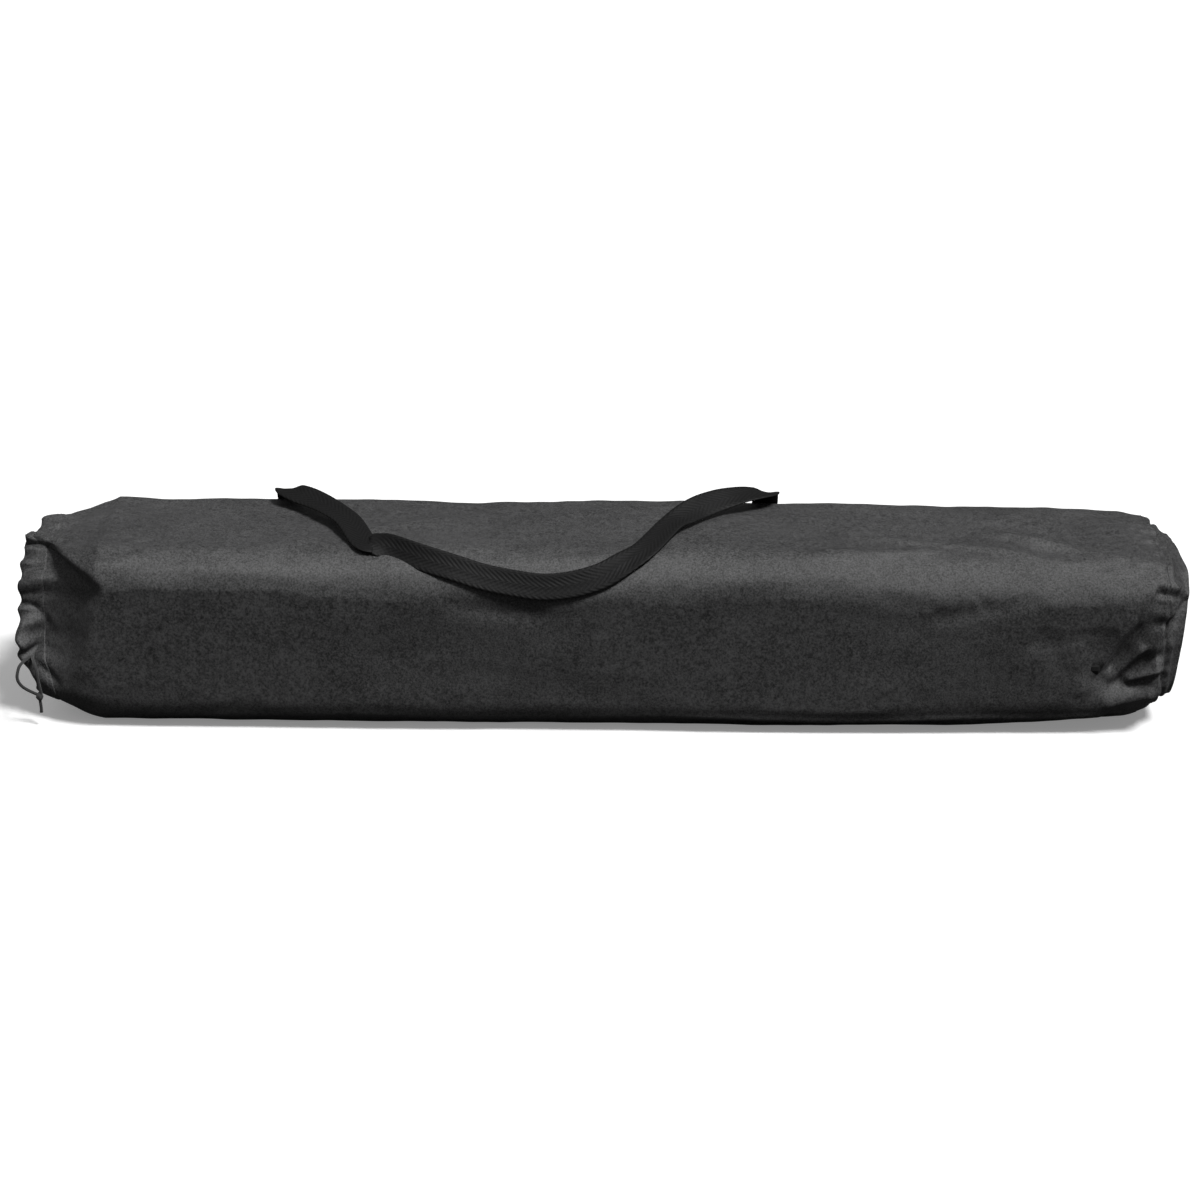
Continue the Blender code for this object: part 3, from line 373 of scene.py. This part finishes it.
# ---------------------------------------------------------------- materials
class Nodes:
    """A short way to build one node tree."""

    def __init__(self, name):
        self.material = bpy.data.materials.new(name)
        self.material.use_nodes = True
        self.tree = self.material.node_tree
        self.shader = self.tree.nodes["Principled BSDF"]

    def add(self, kind, **settings):
        node = self.tree.nodes.new(kind)
        for key, value in settings.items():
            setattr(node, key, value)
        return node

    def link(self, source, target):
        self.tree.links.new(source, target)

    def math(self, operation, a, b=None, clamp=False):
        node = self.add("ShaderNodeMath", operation=operation, use_clamp=clamp)
        for socket, value in zip(node.inputs, (a, b)):
            if value is None:
                continue
            if isinstance(value, (int, float)):
                socket.default_value = value
            else:
                self.link(value, socket)
        return node.outputs[0]

    def noise(self, vector, scale, detail=3, rough=0.55):
        node = self.add("ShaderNodeTexNoise")
        node.inputs["Scale"].default_value = scale
        node.inputs["Detail"].default_value = detail
        node.inputs["Roughness"].default_value = rough
        self.link(vector, node.inputs["Vector"])
        return node.outputs["Fac"]

    def ramp(self, value, stops):
        node = self.add("ShaderNodeValToRGB")
        elements = node.color_ramp.elements
        for element, (at, colour) in zip(elements, stops):
            element.position = at
            element.color = (*colour, 1)
        self.link(value, node.inputs[0])
        return node.outputs["Color"]

    def bump(self, height, strength, distance, after=None):
        node = self.add("ShaderNodeBump")
        node.inputs["Strength"].default_value = strength
        node.inputs["Distance"].default_value = distance
        self.link(height, node.inputs["Height"])
        if after is not None:
            self.link(after, node.inputs["Normal"])
        return node.outputs["Normal"]

    def put(self, name, value):
        socket = self.shader.inputs[name]
        if isinstance(value, (int, float, tuple)):
            socket.default_value = value
        else:
            self.link(value, socket)


def woven(name, dark, pale, thread, sheen=0.25, twill=False, rough=0.62, coarse=0.35, spread=0.30, shine=0.62):
    """Cloth of crossed threads, `thread` metres apart, with uneven dye, sheen and light wear."""
    m = Nodes(name)
    uv = m.add("ShaderNodeUVMap", uv_map="cloth").outputs[0]
    split = m.add("ShaderNodeSeparateXYZ")
    m.link(uv, split.inputs[0])
    along, across = split.outputs[0], split.outputs[1]
    turns = 2 * math.pi / thread
    if twill:
        warp = m.math("SINE", m.math("MULTIPLY", m.math("ADD", along, across), turns * 0.5))
        zigzag = m.math("PINGPONG", across, thread * 3.2)
        slant = m.math("ADD", along, m.math("MULTIPLY", zigzag, 1.6))
        weft = m.math("SINE", m.math("MULTIPLY", slant, turns * 0.45))
        both = m.math("ADD", m.math("MULTIPLY", weft, 0.8), m.math("MULTIPLY", warp, 0.2))
        weave = m.math("MULTIPLY", both, 0.5)
    else:
        warp = m.math("SINE", m.math("MULTIPLY", along, turns))
        weft = m.math("SINE", m.math("MULTIPLY", across, turns))
        weave = m.math("MULTIPLY", warp, weft)
    place = m.add("ShaderNodeTexCoord").outputs["Object"]
    grain = m.noise(place, 560, 2, 0.7)
    patch = m.noise(place, 14, 4, 0.6)
    slub = m.noise(place, 160, 3, 0.6)
    level = m.math("ADD", m.math("MULTIPLY", weave, 0.34 if twill else 0.16), m.math("MULTIPLY", grain, coarse))
    level = m.math("ADD", level, m.math("MULTIPLY", patch, 0.22))
    level = m.math("ADD", level, m.math("MULTIPLY", slub, 0.30))
    middle = 0.26 + 0.5 * coarse
    m.put("Base Color", m.ramp(level, ((middle - spread, dark), (middle + spread, pale))))
    m.put("Roughness", m.math("ADD", m.math("MULTIPLY", slub, 0.16), rough - 0.08, clamp=True))
    m.put("Specular IOR Level", shine)
    m.put("Sheen Weight", sheen)
    m.put("Sheen Roughness", 0.45)
    m.put("Sheen Tint", (0.8, 0.8, 0.82, 1))
    fine = m.bump(weave, 0.55 if twill else 0.35, 0.0004)
    worn = m.bump(grain, 0.45, 0.0004, fine)
    m.put("Normal", m.bump(slub, 0.16, 0.0012, worn))
    return m.material


def braid(name):
    """A round cord of crossing strands."""
    m = Nodes(name)
    place = m.add("ShaderNodeTexCoord").outputs["Object"]
    wave = m.add("ShaderNodeTexWave", bands_direction="DIAGONAL")
    wave.inputs["Scale"].default_value = 420
    wave.inputs["Distortion"].default_value = 1.2
    m.link(place, wave.inputs["Vector"])
    fuzz = m.noise(place, 1500, 3)
    level = m.math("ADD", m.math("MULTIPLY", wave.outputs["Fac"], 0.6), m.math("MULTIPLY", fuzz, 0.4))
    m.put("Base Color", m.ramp(level, ((0.25, (0.010, 0.010, 0.010)), (0.8, (0.045, 0.045, 0.046)))))
    m.put("Roughness", 0.78)
    m.put("Sheen Weight", 0.3)
    m.put("Normal", m.bump(level, 0.6, 0.0005))
    return m.material


def coated_tube(name):
    """Black anodised tube with drawing marks along it and faint handling marks."""
    m = Nodes(name)
    place = m.add("ShaderNodeTexCoord").outputs["Object"]
    stretch = m.add("ShaderNodeMapping")
    stretch.inputs["Scale"].default_value = (6, 700, 700)
    m.link(place, stretch.inputs["Vector"])
    lines = m.noise(stretch.outputs[0], 1.0, 3)
    marks = m.noise(place, 60, 5, 0.65)
    m.put("Base Color", m.ramp(marks, ((0.35, (0.014, 0.014, 0.015)), (0.75, (0.036, 0.036, 0.038)))))
    m.put("Metallic", 0.55)
    m.put("Roughness", m.math("ADD", m.math("MULTIPLY", lines, 0.20), m.math("MULTIPLY", marks, 0.16)))
    m.put("Normal", m.bump(lines, 0.08, 0.0003))
    return m.material


def moulded(name, dark, pale, rough, grain_scale):
    """Moulded plastic or rubber with a fine grain."""
    m = Nodes(name)
    place = m.add("ShaderNodeTexCoord").outputs["Object"]
    grain = m.noise(place, grain_scale, 3, 0.6)
    scuff = m.noise(place, 45, 5, 0.6)
    m.put("Base Color", m.ramp(scuff, ((0.35, dark), (0.78, pale))))
    m.put("Roughness", m.math("ADD", m.math("MULTIPLY", scuff, 0.2), rough - 0.1))
    m.put("Normal", m.bump(grain, 0.25, 0.0004))
    return m.material


def plated_steel(name):
    m = Nodes(name)
    place = m.add("ShaderNodeTexCoord").outputs["Object"]
    stretch = m.add("ShaderNodeMapping")
    stretch.inputs["Scale"].default_value = (12, 900, 900)
    m.link(place, stretch.inputs["Vector"])
    lines = m.noise(stretch.outputs[0], 1.0, 3)
    haze = m.noise(place, 35, 4)
    m.put("Base Color", m.ramp(haze, ((0.3, (0.40, 0.40, 0.41)), (0.7, (0.60, 0.60, 0.60)))))
    m.put("Metallic", 1.0)
    m.put("Roughness", m.math("ADD", m.math("MULTIPLY", lines, 0.22), 0.18))
    m.put("Normal", m.bump(lines, 0.1, 0.0003))
    return m.material


CLOTH = woven(
    "bag_cloth_weave", (0.0020, 0.0020, 0.0020), (0.1000, 0.1000, 0.1010), 0.0011,
    sheen=0.07, rough=0.50, coarse=0.90, spread=0.18,
)
LINING = woven("bag_lining_weave", (0.010, 0.010, 0.010), (0.030, 0.030, 0.030), 0.0009, sheen=0.12, rough=0.72)
WEBBING = woven(
    "webbing_twill", (0.0006, 0.0006, 0.0006), (0.0070, 0.0070, 0.0072), 0.0028,
    sheen=0.02, twill=True, rough=0.66, shine=0.28, coarse=0.45,
)
CORD = braid("cord_braid")
FINISHES = {
    "black_tube": coated_tube("tube_anodised"),
    "black_plastic": moulded("plastic_moulded", (0.012, 0.012, 0.012), (0.032, 0.032, 0.032), 0.46, 700),
    "rubber": moulded("rubber_moulded", (0.008, 0.008, 0.008), (0.022, 0.022, 0.022), 0.82, 350),
    "bright_steel": plated_steel("steel_plated"),
    "cord": CORD,
    "webbing": moulded("webbing_plain", (0.010, 0.010, 0.010), (0.035, 0.035, 0.035), 0.7, 900),
    "bag_cloth": moulded("cloth_plain", (0.015, 0.015, 0.015), (0.045, 0.045, 0.045), 0.7, 900),
}


def dress(thing, *finishes):
    thing.data.materials.clear()
    for finish in finishes:
        thing.data.materials.append(finish)
    return thing


# ---------------------------------------------------------------- the bag
def bag_body():
    """Cloth from the hem's stitching to the sewn end, with its end panel, as one skin with a thickness."""
    fine = 1
    spans = ((HEM_START, -0.43, 64), (-0.43, 0.28, 150), (0.28, 0.50, 120), (0.50, SEWN, 66))
    x = np.concatenate([np.linspace(a, b, steps // fine, endpoint=False) for a, b, steps in spans] + [[SEWN]])
    p, n = skin(x)
    rim = p[-1]
    middle = rim.mean(0)
    rows = [p]
    uvs_x = [p[..., 0]]
    for k, share in enumerate((0.985, 0.95, 0.88, 0.76, 0.60, 0.42, 0.22, 0.06)):
        ring = middle + (rim - middle) * share
        ring[:, 0] = rim[:, 0] * share + middle[0] * (1 - share)
        dome = 0.0006 * math.sin(k * 1.9)
        ring[:, 0] = np.minimum(ring[:, 0] + dome, 0.5494)
        rows.append(ring[None])
        uvs_x.append(np.full((1, ring.shape[0]), 0.55 + 0.09 * (1 - share)))
    outer = np.concatenate(rows, 0)
    u = np.concatenate(uvs_x, 0)
    v = np.repeat(cloth_uv(p)[1][:1], outer.shape[0], 0)
    body = grid_mesh("bag_body", outer, uv=(u, v), cap_last=True)
    thick = body.modifiers.new("cloth", "SOLIDIFY")
    thick.thickness = SHEET
    thick.offset = -1
    thick.use_rim = True
    thick.material_offset = 1
    dress(outward(body), CLOTH, LINING)
    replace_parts(body, "bag_wrap", "bag_base", "bag_end_panel", "mouth_gusset")
    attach(body, "bag")
    return body, p, n, x


def bag_hem():
    """The mouth's edge, turned over the drawcord and stitched down twice."""
    x = np.linspace(MOUTH, HEM_START + 0.0015, 15)
    p, n = skin(x)
    turn = np.arctan2(p[..., 2] - SECTION_MIDDLE, p[..., 1])
    drawn = smooth(HEM_START, MOUTH, x)[:, None]
    fall = (0.0014 * np.sin(turn * 21 + 1.5 * np.sin(turn * 4)) + 0.0008 * np.sin(turn * 34))
    p = p + n * (drawn * fall)[..., None]
    p[..., 0] += drawn * 0.0016 * np.sin(turn * 17 + 0.7)
    swell = np.sin(np.pi * np.linspace(0, 1, len(x)) ** 0.7)[:, None] * 0.0011 + 0.0007
    share = np.clip(np.linspace(0.06, 1.0, len(x)), 0, 1)
    inner_depth = 0.0036 * np.sin(np.pi * share ** 0.6)[:, None] + 0.0011
    outer = p + n * swell[..., None]
    inner = (p - n * inner_depth[..., None])[::-1]
    nose = (outer[0] + inner[-1]) / 2
    nose[:, 0] -= 0.0016
    loop = np.concatenate([outer[::-1], nose[None], inner[::-1]], 0)
    rows = np.transpose(loop, (1, 0, 2))
    count = rows.shape[0]
    length = np.cumsum(np.r_[0, np.linalg.norm(np.diff(rows[0], axis=0), axis=1)])
    round_ = np.cumsum(np.r_[0, np.linalg.norm(np.diff(p[7], axis=0), axis=1)])
    u = np.repeat(length[None], count, 0)
    v = np.repeat(round_[:, None], len(length), 1)
    closed = np.concatenate([rows, rows[:1]], 0)
    u = np.concatenate([u, u[:1]], 0)
    v = np.concatenate([v, v[-1:] + 0.003], 0)
    hem = grid_mesh("bag_hem", closed, ring=True, uv=(u, v))
    bm = bmesh.new()
    bm.from_mesh(hem.data)
    bmesh.ops.remove_doubles(bm, verts=bm.verts, dist=1e-6)
    bm.to_mesh(hem.data)
    bm.free()
    dress(outward(hem), CLOTH)
    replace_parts(hem, "mouth_hem")
    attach(hem, "bag")
    core = (outer + inner[::-1]) / 2
    return hem, outer, n, core


def stitches(name, path, lift, finish, closed=False, length=0.0030, gap=0.0014, radius=0.00032):
    """A row of thread stitches lying on a line of (point, outward) pairs."""
    points = [Vector(a) for a, _ in path]
    outs = [Vector(b) for _, b in path]
    run = [0.0]
    for a, b in zip(points, points[1:]):
        run.append(run[-1] + (b - a).length)

    def at(s):
        k = min(int(np.searchsorted(run, s, "right")) - 1, len(points) - 2)
        t = (s - run[k]) / max(run[k + 1] - run[k], 1e-9)
        return points[k].lerp(points[k + 1], t), outs[k].lerp(outs[k + 1], t).normalized()

    verts, faces = [], []
    s = 0.0
    while s + length < run[-1]:
        rings = []
        for share, size in ((0, 0.35), (0.2, 0.9), (0.5, 1.0), (0.8, 0.9), (1, 0.35)):
            place, out = at(s + length * share)
            ahead, _ = at(min(s + length * share + 0.0004, run[-1]))
            forward = (ahead - place)
            if forward.length < 1e-9:
                forward = points[-1] - points[-2]
            forward.normalize()
            side = forward.cross(out).normalized()
            sink = 0.0002 * (1 - size)
            ring = []
            for k in range(6):
                bend = k * math.pi / 3
                rise = side * math.cos(bend) + out * math.sin(bend) * 0.8
                ring.append(place + out * (lift - sink) + rise * radius * size)
            rings.append(ring)
        base = len(verts)
        for ring in rings:
            verts.extend(ring)
        for i in range(4):
            for k in range(6):
                j = (k + 1) % 6
                faces.append((base + i * 6 + k, base + i * 6 + j, base + i * 6 + 6 + j, base + i * 6 + 6 + k))
        faces.append(tuple(base + k for k in range(6))[::-1])
        faces.append(tuple(base + 24 + k for k in range(6)))
        s += length + gap
    mesh = bpy.data.meshes.new(name)
    mesh.from_pydata([tuple(v) for v in verts], [], faces)
    mesh.shade_smooth()
    thing = bpy.data.objects.new(name, mesh)
    bpy.context.scene.collection.objects.link(thing)
    dress(outward(thing), finish)
    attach(thing, "bag")
    return thing


THREAD = moulded("stitch_thread", (0.030, 0.030, 0.030), (0.085, 0.085, 0.085), 0.6, 1500)


def hem_stitching(outer, n):
    for number, row in enumerate((10, 12), 1):
        line = outer[row]
        direction = n[row]
        path = [(line[j], direction[j]) for j in range(line.shape[0])] + [(line[0], direction[0])]
        stitches(f"hem_stitch_{number}", path, 0.0001, THREAD)


def seam_stitching(p, n, x):
    row = int(np.argmin(np.abs(x - (SEAM_X - 0.0052))))
    path = [(p[row][j], n[row][j]) for j in range(p.shape[1])] + [(p[row][0], n[row][0])]
    stitches("end_seam_stitch", path, 0.0001, THREAD)


# ---------------------------------------------------------------- ribbons
def catmull(points, per_span):
    points = [Vector(p) for p in points]
    ends = [2 * points[0] - points[1], *points, 2 * points[-1] - points[-2]]
    route = []
    for a, b, c, d in zip(ends, ends[1:], ends[2:], ends[3:]):
        for step in range(per_span):
            t = step / per_span
            square = (2 * a - 5 * b + 4 * c - d) * t ** 2
            cube = (3 * b - a - 3 * c + d) * t ** 3
            route.append(0.5 * (2 * b + (c - a) * t + square + cube))
    return route + [points[-1]]


def ribbon(name, stations, body, replaced, per_span=8, lean_ends=True):
    """Webbing along (point, tilt) stations; tilt is the angle above level that its upper side faces."""
    route = catmull([s[0] for s in stations], per_span)
    tilts = catmull([(s[1], 0, 0) for s in stations], per_span)
    widths = np.linspace(-1, 1, 15)
    rows, us, vs, run = [], [], [], 0.0
    for i, point in enumerate(route):
        ahead, behind = route[min(i + 1, len(route) - 1)], route[max(i - 1, 0)]
        forward = (ahead - behind).normalized()
        tilt = math.radians(tilts[i].x)
        facing = Vector((0, -math.cos(tilt), math.sin(tilt)))
        across = facing.cross(forward).normalized()
        normal = forward.cross(across).normalized()
        if lean_ends:
            share = min(i, len(route) - 1 - i) / 7
            if share < 1:
                flat = Vector((1, 0, 0)) * (1 if across.x > 0 else -1)
                across = (flat * (1 - share) + across * share).normalized()
                normal = forward.cross(across).normalized()
        if i:
            run += (point - route[i - 1]).length
        ring = []
        for side in (1, -1):
            for w in (widths if side > 0 else widths[::-1]):
                edge = 1 - 0.45 * abs(w) ** 8
                rib = 1 + 0.10 * math.cos(w * math.pi * 3)
                cup = 0.0007 * (w * w - 0.4)
                rise = side * STRAP_THICK / 2 * edge * rib + cup
                ring.append(point + across * STRAP_HALF * w + normal * rise)
                us.append(run)
                vs.append(w * STRAP_HALF)
        rows.append([tuple(v) for v in ring])
    strap = grid_mesh(name, np.array(rows), ring=True, uv=(us, vs), cap_first=True, cap_last=True)
    dress(outward(strap), WEBBING)
    if replaced:
        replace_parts(strap, replaced)
    if body:
        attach(strap, body)
    return strap


def on_edge(x, facing, lift=0.0032):
    y, z, radius = -0.0478, 0.1272, 0.0470
    bend = math.radians(facing)
    return (x, y - (radius + lift) * math.cos(bend), z + (radius + lift) * math.sin(bend))


def handle_strap():
    stations = [
        ((-0.3020, 0.0660, 0.1832), 90),
        ((-0.3030, 0.0600, 0.1868), 84),
        ((-0.3000, 0.0510, 0.1890), 76),
        ((-0.2900, 0.0400, 0.1896), 66),
        ((-0.2740, 0.0270, 0.1886), 66),
        ((-0.2560, 0.0080, 0.1872), 76),
        ((-0.2370, -0.0170, 0.1842), 84),
        (on_edge(-0.2190, 80, 0.0046), 84),
        (on_edge(-0.2080, 75, 0.0060), 60),
        (on_edge(-0.1920, 69, 0.0058), 30),
        (on_edge(-0.1660, 57, 0.0058), 28),
        (on_edge(-0.1350, 46, 0.0048), 36),
        (on_edge(-0.1057, 36), 36),
        (on_edge(-0.0740, 29), 31),
        (on_edge(-0.0500, 26), 29),
        (on_edge(-0.0240, 29), 31),
        (on_edge(0.0023, 38, 0.0036), 39),
        (on_edge(0.0230, 52, 0.0046), 54),
        (on_edge(0.0430, 71, 0.0052), 76),
        ((0.0660, -0.0220, 0.1846), 84),
        ((0.0800, -0.0040, 0.1876), 56),
        ((0.0940, 0.0130, 0.1888), 40),
        ((0.1120, 0.0300, 0.1896), 52),
        ((0.1320, 0.0430, 0.1902), 70),
        ((0.1490, 0.0520, 0.1892), 82),
        ((0.1585, 0.0600, 0.1868), 88),
        ((0.1580, 0.0660, 0.1832), 90),
    ]
    strap = ribbon("handle_webbing", stations, None, "handle_strap")
    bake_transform(strap)
    return strap


def anchor(name, middle, node):
    """The strap's sewn end, flat on the bag's back edge and rising to the loop's fold."""
    cy, cz, radius = 0.0566, 0.1358, 0.0396
    points = []
    for bend in (20, 30, 40, 50, 60, 68):
        a = math.radians(bend)
        points.append((cy + radius * math.cos(a), cz + radius * math.sin(a)))
    points += [(0.0690, 0.1755), (0.0670, 0.1800), (0.0660, 0.1832)]
    route = catmull([(0, y, z) for y, z in points], 4)
    rows, us, vs, run = [], [], [], 0.0
    widths = np.linspace(-1, 1, 13)
    for i, point in enumerate(route):
        forward = (route[min(i + 1, len(route) - 1)] - route[max(i - 1, 0)]).normalized()
        out = forward.cross(Vector((1, 0, 0))).normalized()
        if out.y < 0:
            out = -out
        if i:
            run += (point - route[i - 1]).length
        ring = []
        for side in (1, -1):
            for w in (widths if side > 0 else widths[::-1]):
                edge = 1 - 0.45 * abs(w) ** 8
                on_line = Vector((middle + w * STRAP_HALF, point.y, point.z))
                ring.append(on_line + out * (side * STRAP_THICK / 2 * edge))
                us.append(run)
                vs.append(w * STRAP_HALF)
        rows.append([tuple(v) for v in ring])
    piece = grid_mesh(name, np.array(rows), ring=True, uv=(us, vs), cap_first=True, cap_last=True)
    dress(outward(piece), WEBBING)
    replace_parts(piece, node)
    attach(piece, "bag")

    def on(w, bend):
        a = math.radians(bend)
        reach = radius + STRAP_THICK / 2
        return (middle + w, cy + reach * math.cos(a), cz + reach * math.sin(a)), (0, math.cos(a), math.sin(a))

    box = [on(w, 24) for w in np.linspace(-0.009, 0.009, 8)]
    box += [on(0.009, b) for b in np.linspace(24, 60, 14)]
    box += [on(w, 60) for w in np.linspace(0.009, -0.009, 8)]
    box += [on(-0.009, b) for b in np.linspace(60, 24, 14)]
    stitches(name + "_box", box, 0.0001, THREAD, length=0.0022, gap=0.0010, radius=0.00028)
    for k, (a, b) in enumerate((((-0.009, 24), (0.009, 60)), ((0.009, 24), (-0.009, 60))), 1):
        line = [on(lerp(a[0], b[0], t), lerp(a[1], b[1], t)) for t in np.linspace(0, 1, 20)]
        stitches(f"{name}_cross_{k}", line, 0.0001 * k, THREAD, length=0.0022, gap=0.0010, radius=0.00028)


# ---------------------------------------------------------------- the drawcord
def cord_curve(name, points, cyclic=False):
    curve = bpy.data.curves.new(name, "CURVE")
    curve.dimensions = "3D"
    curve.bevel_depth = CORD_RADIUS
    curve.bevel_resolution = 4
    curve.use_fill_caps = True
    spline = curve.splines.new("POLY")
    spline.points.add(len(points) - 1)
    for point, place in zip(spline.points, points):
        point.co = (*place, 1)
    spline.use_cyclic_u = cyclic
    curve.materials.append(CORD)
    thing = bpy.data.objects.new(name, curve)
    bpy.context.scene.collection.objects.link(thing)
    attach(thing, "bag")
    return thing


def drawcord(core):
    line = core[5]
    ring = [tuple(line[j]) for j in range(0, line.shape[0], 4)]
    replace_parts(cord_curve("drawcord_in_hem", ring, True), "drawcord")
    leaves_hem = min(ring, key=lambda place: (Vector(place) - Vector((-0.5400, -0.0700, 0.0640))).length)
    front = catmull([
        leaves_hem, (-0.5442, -0.0800, 0.0610), (-0.5462, -0.0862, 0.0560), (-0.5466, -0.0885, 0.0500),
        (-0.5440, -0.0888, 0.0440), (-0.5385, -0.0882, 0.0388), (-0.5290, -0.0866, 0.0330),
    ], 6)
    rear = catmull([
        leaves_hem, (-0.5312, -0.0800, 0.0612), (-0.5288, -0.0852, 0.0565), (-0.5276, -0.0866, 0.0490),
        (-0.5266, -0.0868, 0.0410), (-0.5254, -0.0866, 0.0335),
    ], 6)
    knot = drawcord_knot()
    for name, points, node, pieces in (
        ("drawcord_tail_front", front, "drawcord_front_end", [knot]),
        ("drawcord_tail_rear", rear, "drawcord_rear_end", []),
    ):
        tail = cord_curve(name, [tuple(p) for p in points])
        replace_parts(tail, node)


def drawcord_knot():
    """An overhand knot: a small lumpy ball of cord with the cut tag below it."""
    top = Vector((-0.5270, -0.0865, 0.0352))
    rows = []
    for i in range(13):
        t = i / 12
        z = -0.0088 * t
        radius = 0.0034 * math.sin(math.pi * min(max(t, 0.06), 0.94)) ** 0.55
        ring = []
        for k in range(24):
            bend = k * math.pi / 12
            lump = 1 + 0.10 * math.sin(3 * bend + 7 * t) + 0.05 * math.sin(5 * bend - 9 * t)
            ring.append((top.x + radius * lump * math.cos(bend), top.y + radius * lump * math.sin(bend), top.z + z))
        rows.append(ring)
    for t in np.linspace(0, 1, 9)[1:]:
        z = -0.0086 - 0.0118 * t
        radius = CORD_RADIUS * (1.0 if t < 0.95 else 1.15)
        sway = 0.0006 * math.sin(t * 2.2)
        rows.append([
            (top.x + sway + radius * math.cos(k * math.pi / 12), top.y + radius * math.sin(k * math.pi / 12), top.z + z)
            for k in range(24)
        ])
    knot = grid_mesh("drawcord_end_knot", np.array(rows), ring=True, cap_first=True, cap_last=True)
    dress(outward(knot), CORD)
    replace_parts(knot, "drawcord_knot")
    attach(knot, "bag")
    return knot


# ---------------------------------------------------------------- hard parts
def dress_hard_parts():
    slots = {entry["node"]: entry["material_slot"] for entry in frame["record"]["subparts"]}
    for name, node in NODES.items():
        dress(node, FINISHES[slots[name]])


# ---------------------------------------------------------------- studio
def studio():
    mesh = bpy.data.meshes.new("studio_floor")
    mesh.from_pydata([(-14, -10, 0), (14, -10, 0), (14, 22, 0), (-14, 22, 0)], [], [(0, 1, 2, 3)])
    floor = bpy.data.objects.new("studio_floor", mesh)
    bpy.context.scene.collection.objects.link(floor)
    paper = bpy.data.materials.new("white_sweep")
    paper.use_nodes = True
    tree = paper.node_tree
    shader = tree.nodes["Principled BSDF"]
    shader.inputs["Base Color"].default_value = (0.95, 0.95, 0.95, 1)
    shader.inputs["Roughness"].default_value = 0.9
    shader.inputs["Specular IOR Level"].default_value = 0.0
    mesh.materials.append(paper)
    dim = tree.nodes.new("ShaderNodeBsdfDiffuse")
    dim.inputs["Color"].default_value = (0.05, 0.05, 0.05, 1)
    rays = tree.nodes.new("ShaderNodeLightPath")
    mix = tree.nodes.new("ShaderNodeMixShader")
    tree.links.new(rays.outputs["Is Camera Ray"], mix.inputs[0])
    tree.links.new(dim.outputs[0], mix.inputs[1])
    shader.inputs["Emission Color"].default_value = (1, 1, 1, 1)
    shader.inputs["Emission Strength"].default_value = 0.22
    tree.links.new(shader.outputs[0], mix.inputs[2])
    tree.links.new(mix.outputs[0], tree.nodes["Material Output"].inputs["Surface"])
    for name, angles, spread, power in (
        ("key", (30.5, 0, 50), 16, 3.2),
        ("left_rim", (50, 0, -66), 30, 0.10),
    ):
        light = bpy.data.lights.new(name, "SUN")
        light.angle = math.radians(spread)
        light.energy = power
        lamp = bpy.data.objects.new(name, light)
        bpy.context.scene.collection.objects.link(lamp)
        lamp.rotation_euler = [math.radians(a) for a in angles]
    world = bpy.data.worlds.new("white_room")
    bpy.context.scene.world = world
    world.use_nodes = True
    tree = world.node_tree
    seen = tree.nodes["Background"]
    seen.inputs["Color"].default_value = (1, 1, 1, 1)
    seen.inputs["Strength"].default_value = 1.0
    unseen = tree.nodes.new("ShaderNodeBackground")
    unseen.inputs["Strength"].default_value = 1.0
    where = tree.nodes.new("ShaderNodeTexCoord")
    height = tree.nodes.new("ShaderNodeSeparateXYZ")
    fade = tree.nodes.new("ShaderNodeValToRGB")
    fade.color_ramp.elements[0].position = 0.0
    fade.color_ramp.elements[0].color = (0.015, 0.015, 0.015, 1)
    fade.color_ramp.elements[1].position = 0.85
    fade.color_ramp.elements[1].color = (0.22, 0.22, 0.22, 1)
    tree.links.new(where.outputs["Generated"], height.inputs[0])
    tree.links.new(height.outputs[2], fade.inputs[0])
    tree.links.new(fade.outputs[0], unseen.inputs["Color"])
    rays = tree.nodes.new("ShaderNodeLightPath")
    mix = tree.nodes.new("ShaderNodeMixShader")
    tree.links.new(rays.outputs["Is Camera Ray"], mix.inputs[0])
    tree.links.new(unseen.outputs[0], mix.inputs[1])
    tree.links.new(seen.outputs[0], mix.inputs[2])
    tree.links.new(mix.outputs[0], tree.nodes["World Output"].inputs["Surface"])


def camera():
    elevation, turn, distance = math.radians(22.5), math.radians(1.2), 3.0
    target = Vector((-0.0002, 0, 0.0982))
    away = Vector((math.sin(turn) * math.cos(elevation), -math.cos(turn) * math.cos(elevation), math.sin(elevation)))
    data = bpy.data.cameras.new("camera")
    data.lens = 94.0
    data.sensor_width = 36
    data.clip_end = 100
    thing = bpy.data.objects.new("camera", data)
    bpy.context.scene.collection.objects.link(thing)
    thing.location = target + away * distance
    thing.rotation_euler = (-away).to_track_quat("-Z", "Y").to_euler()
    bpy.context.scene.camera = thing
    bpy.context.scene.view_settings.view_transform = "Standard"


dress_hard_parts()
_, body_points, body_normals, body_x = bag_body()
_, hem_outer, hem_normals, hem_core = bag_hem()
hem_stitching(hem_outer, hem_normals)
seam_stitching(body_points, body_normals, body_x)
handle_strap()
anchor("handle_patch_left", -0.302, "handle_anchor_left")
anchor("handle_patch_right", 0.158, "handle_anchor_right")
drawcord(hem_core)
studio()
camera()
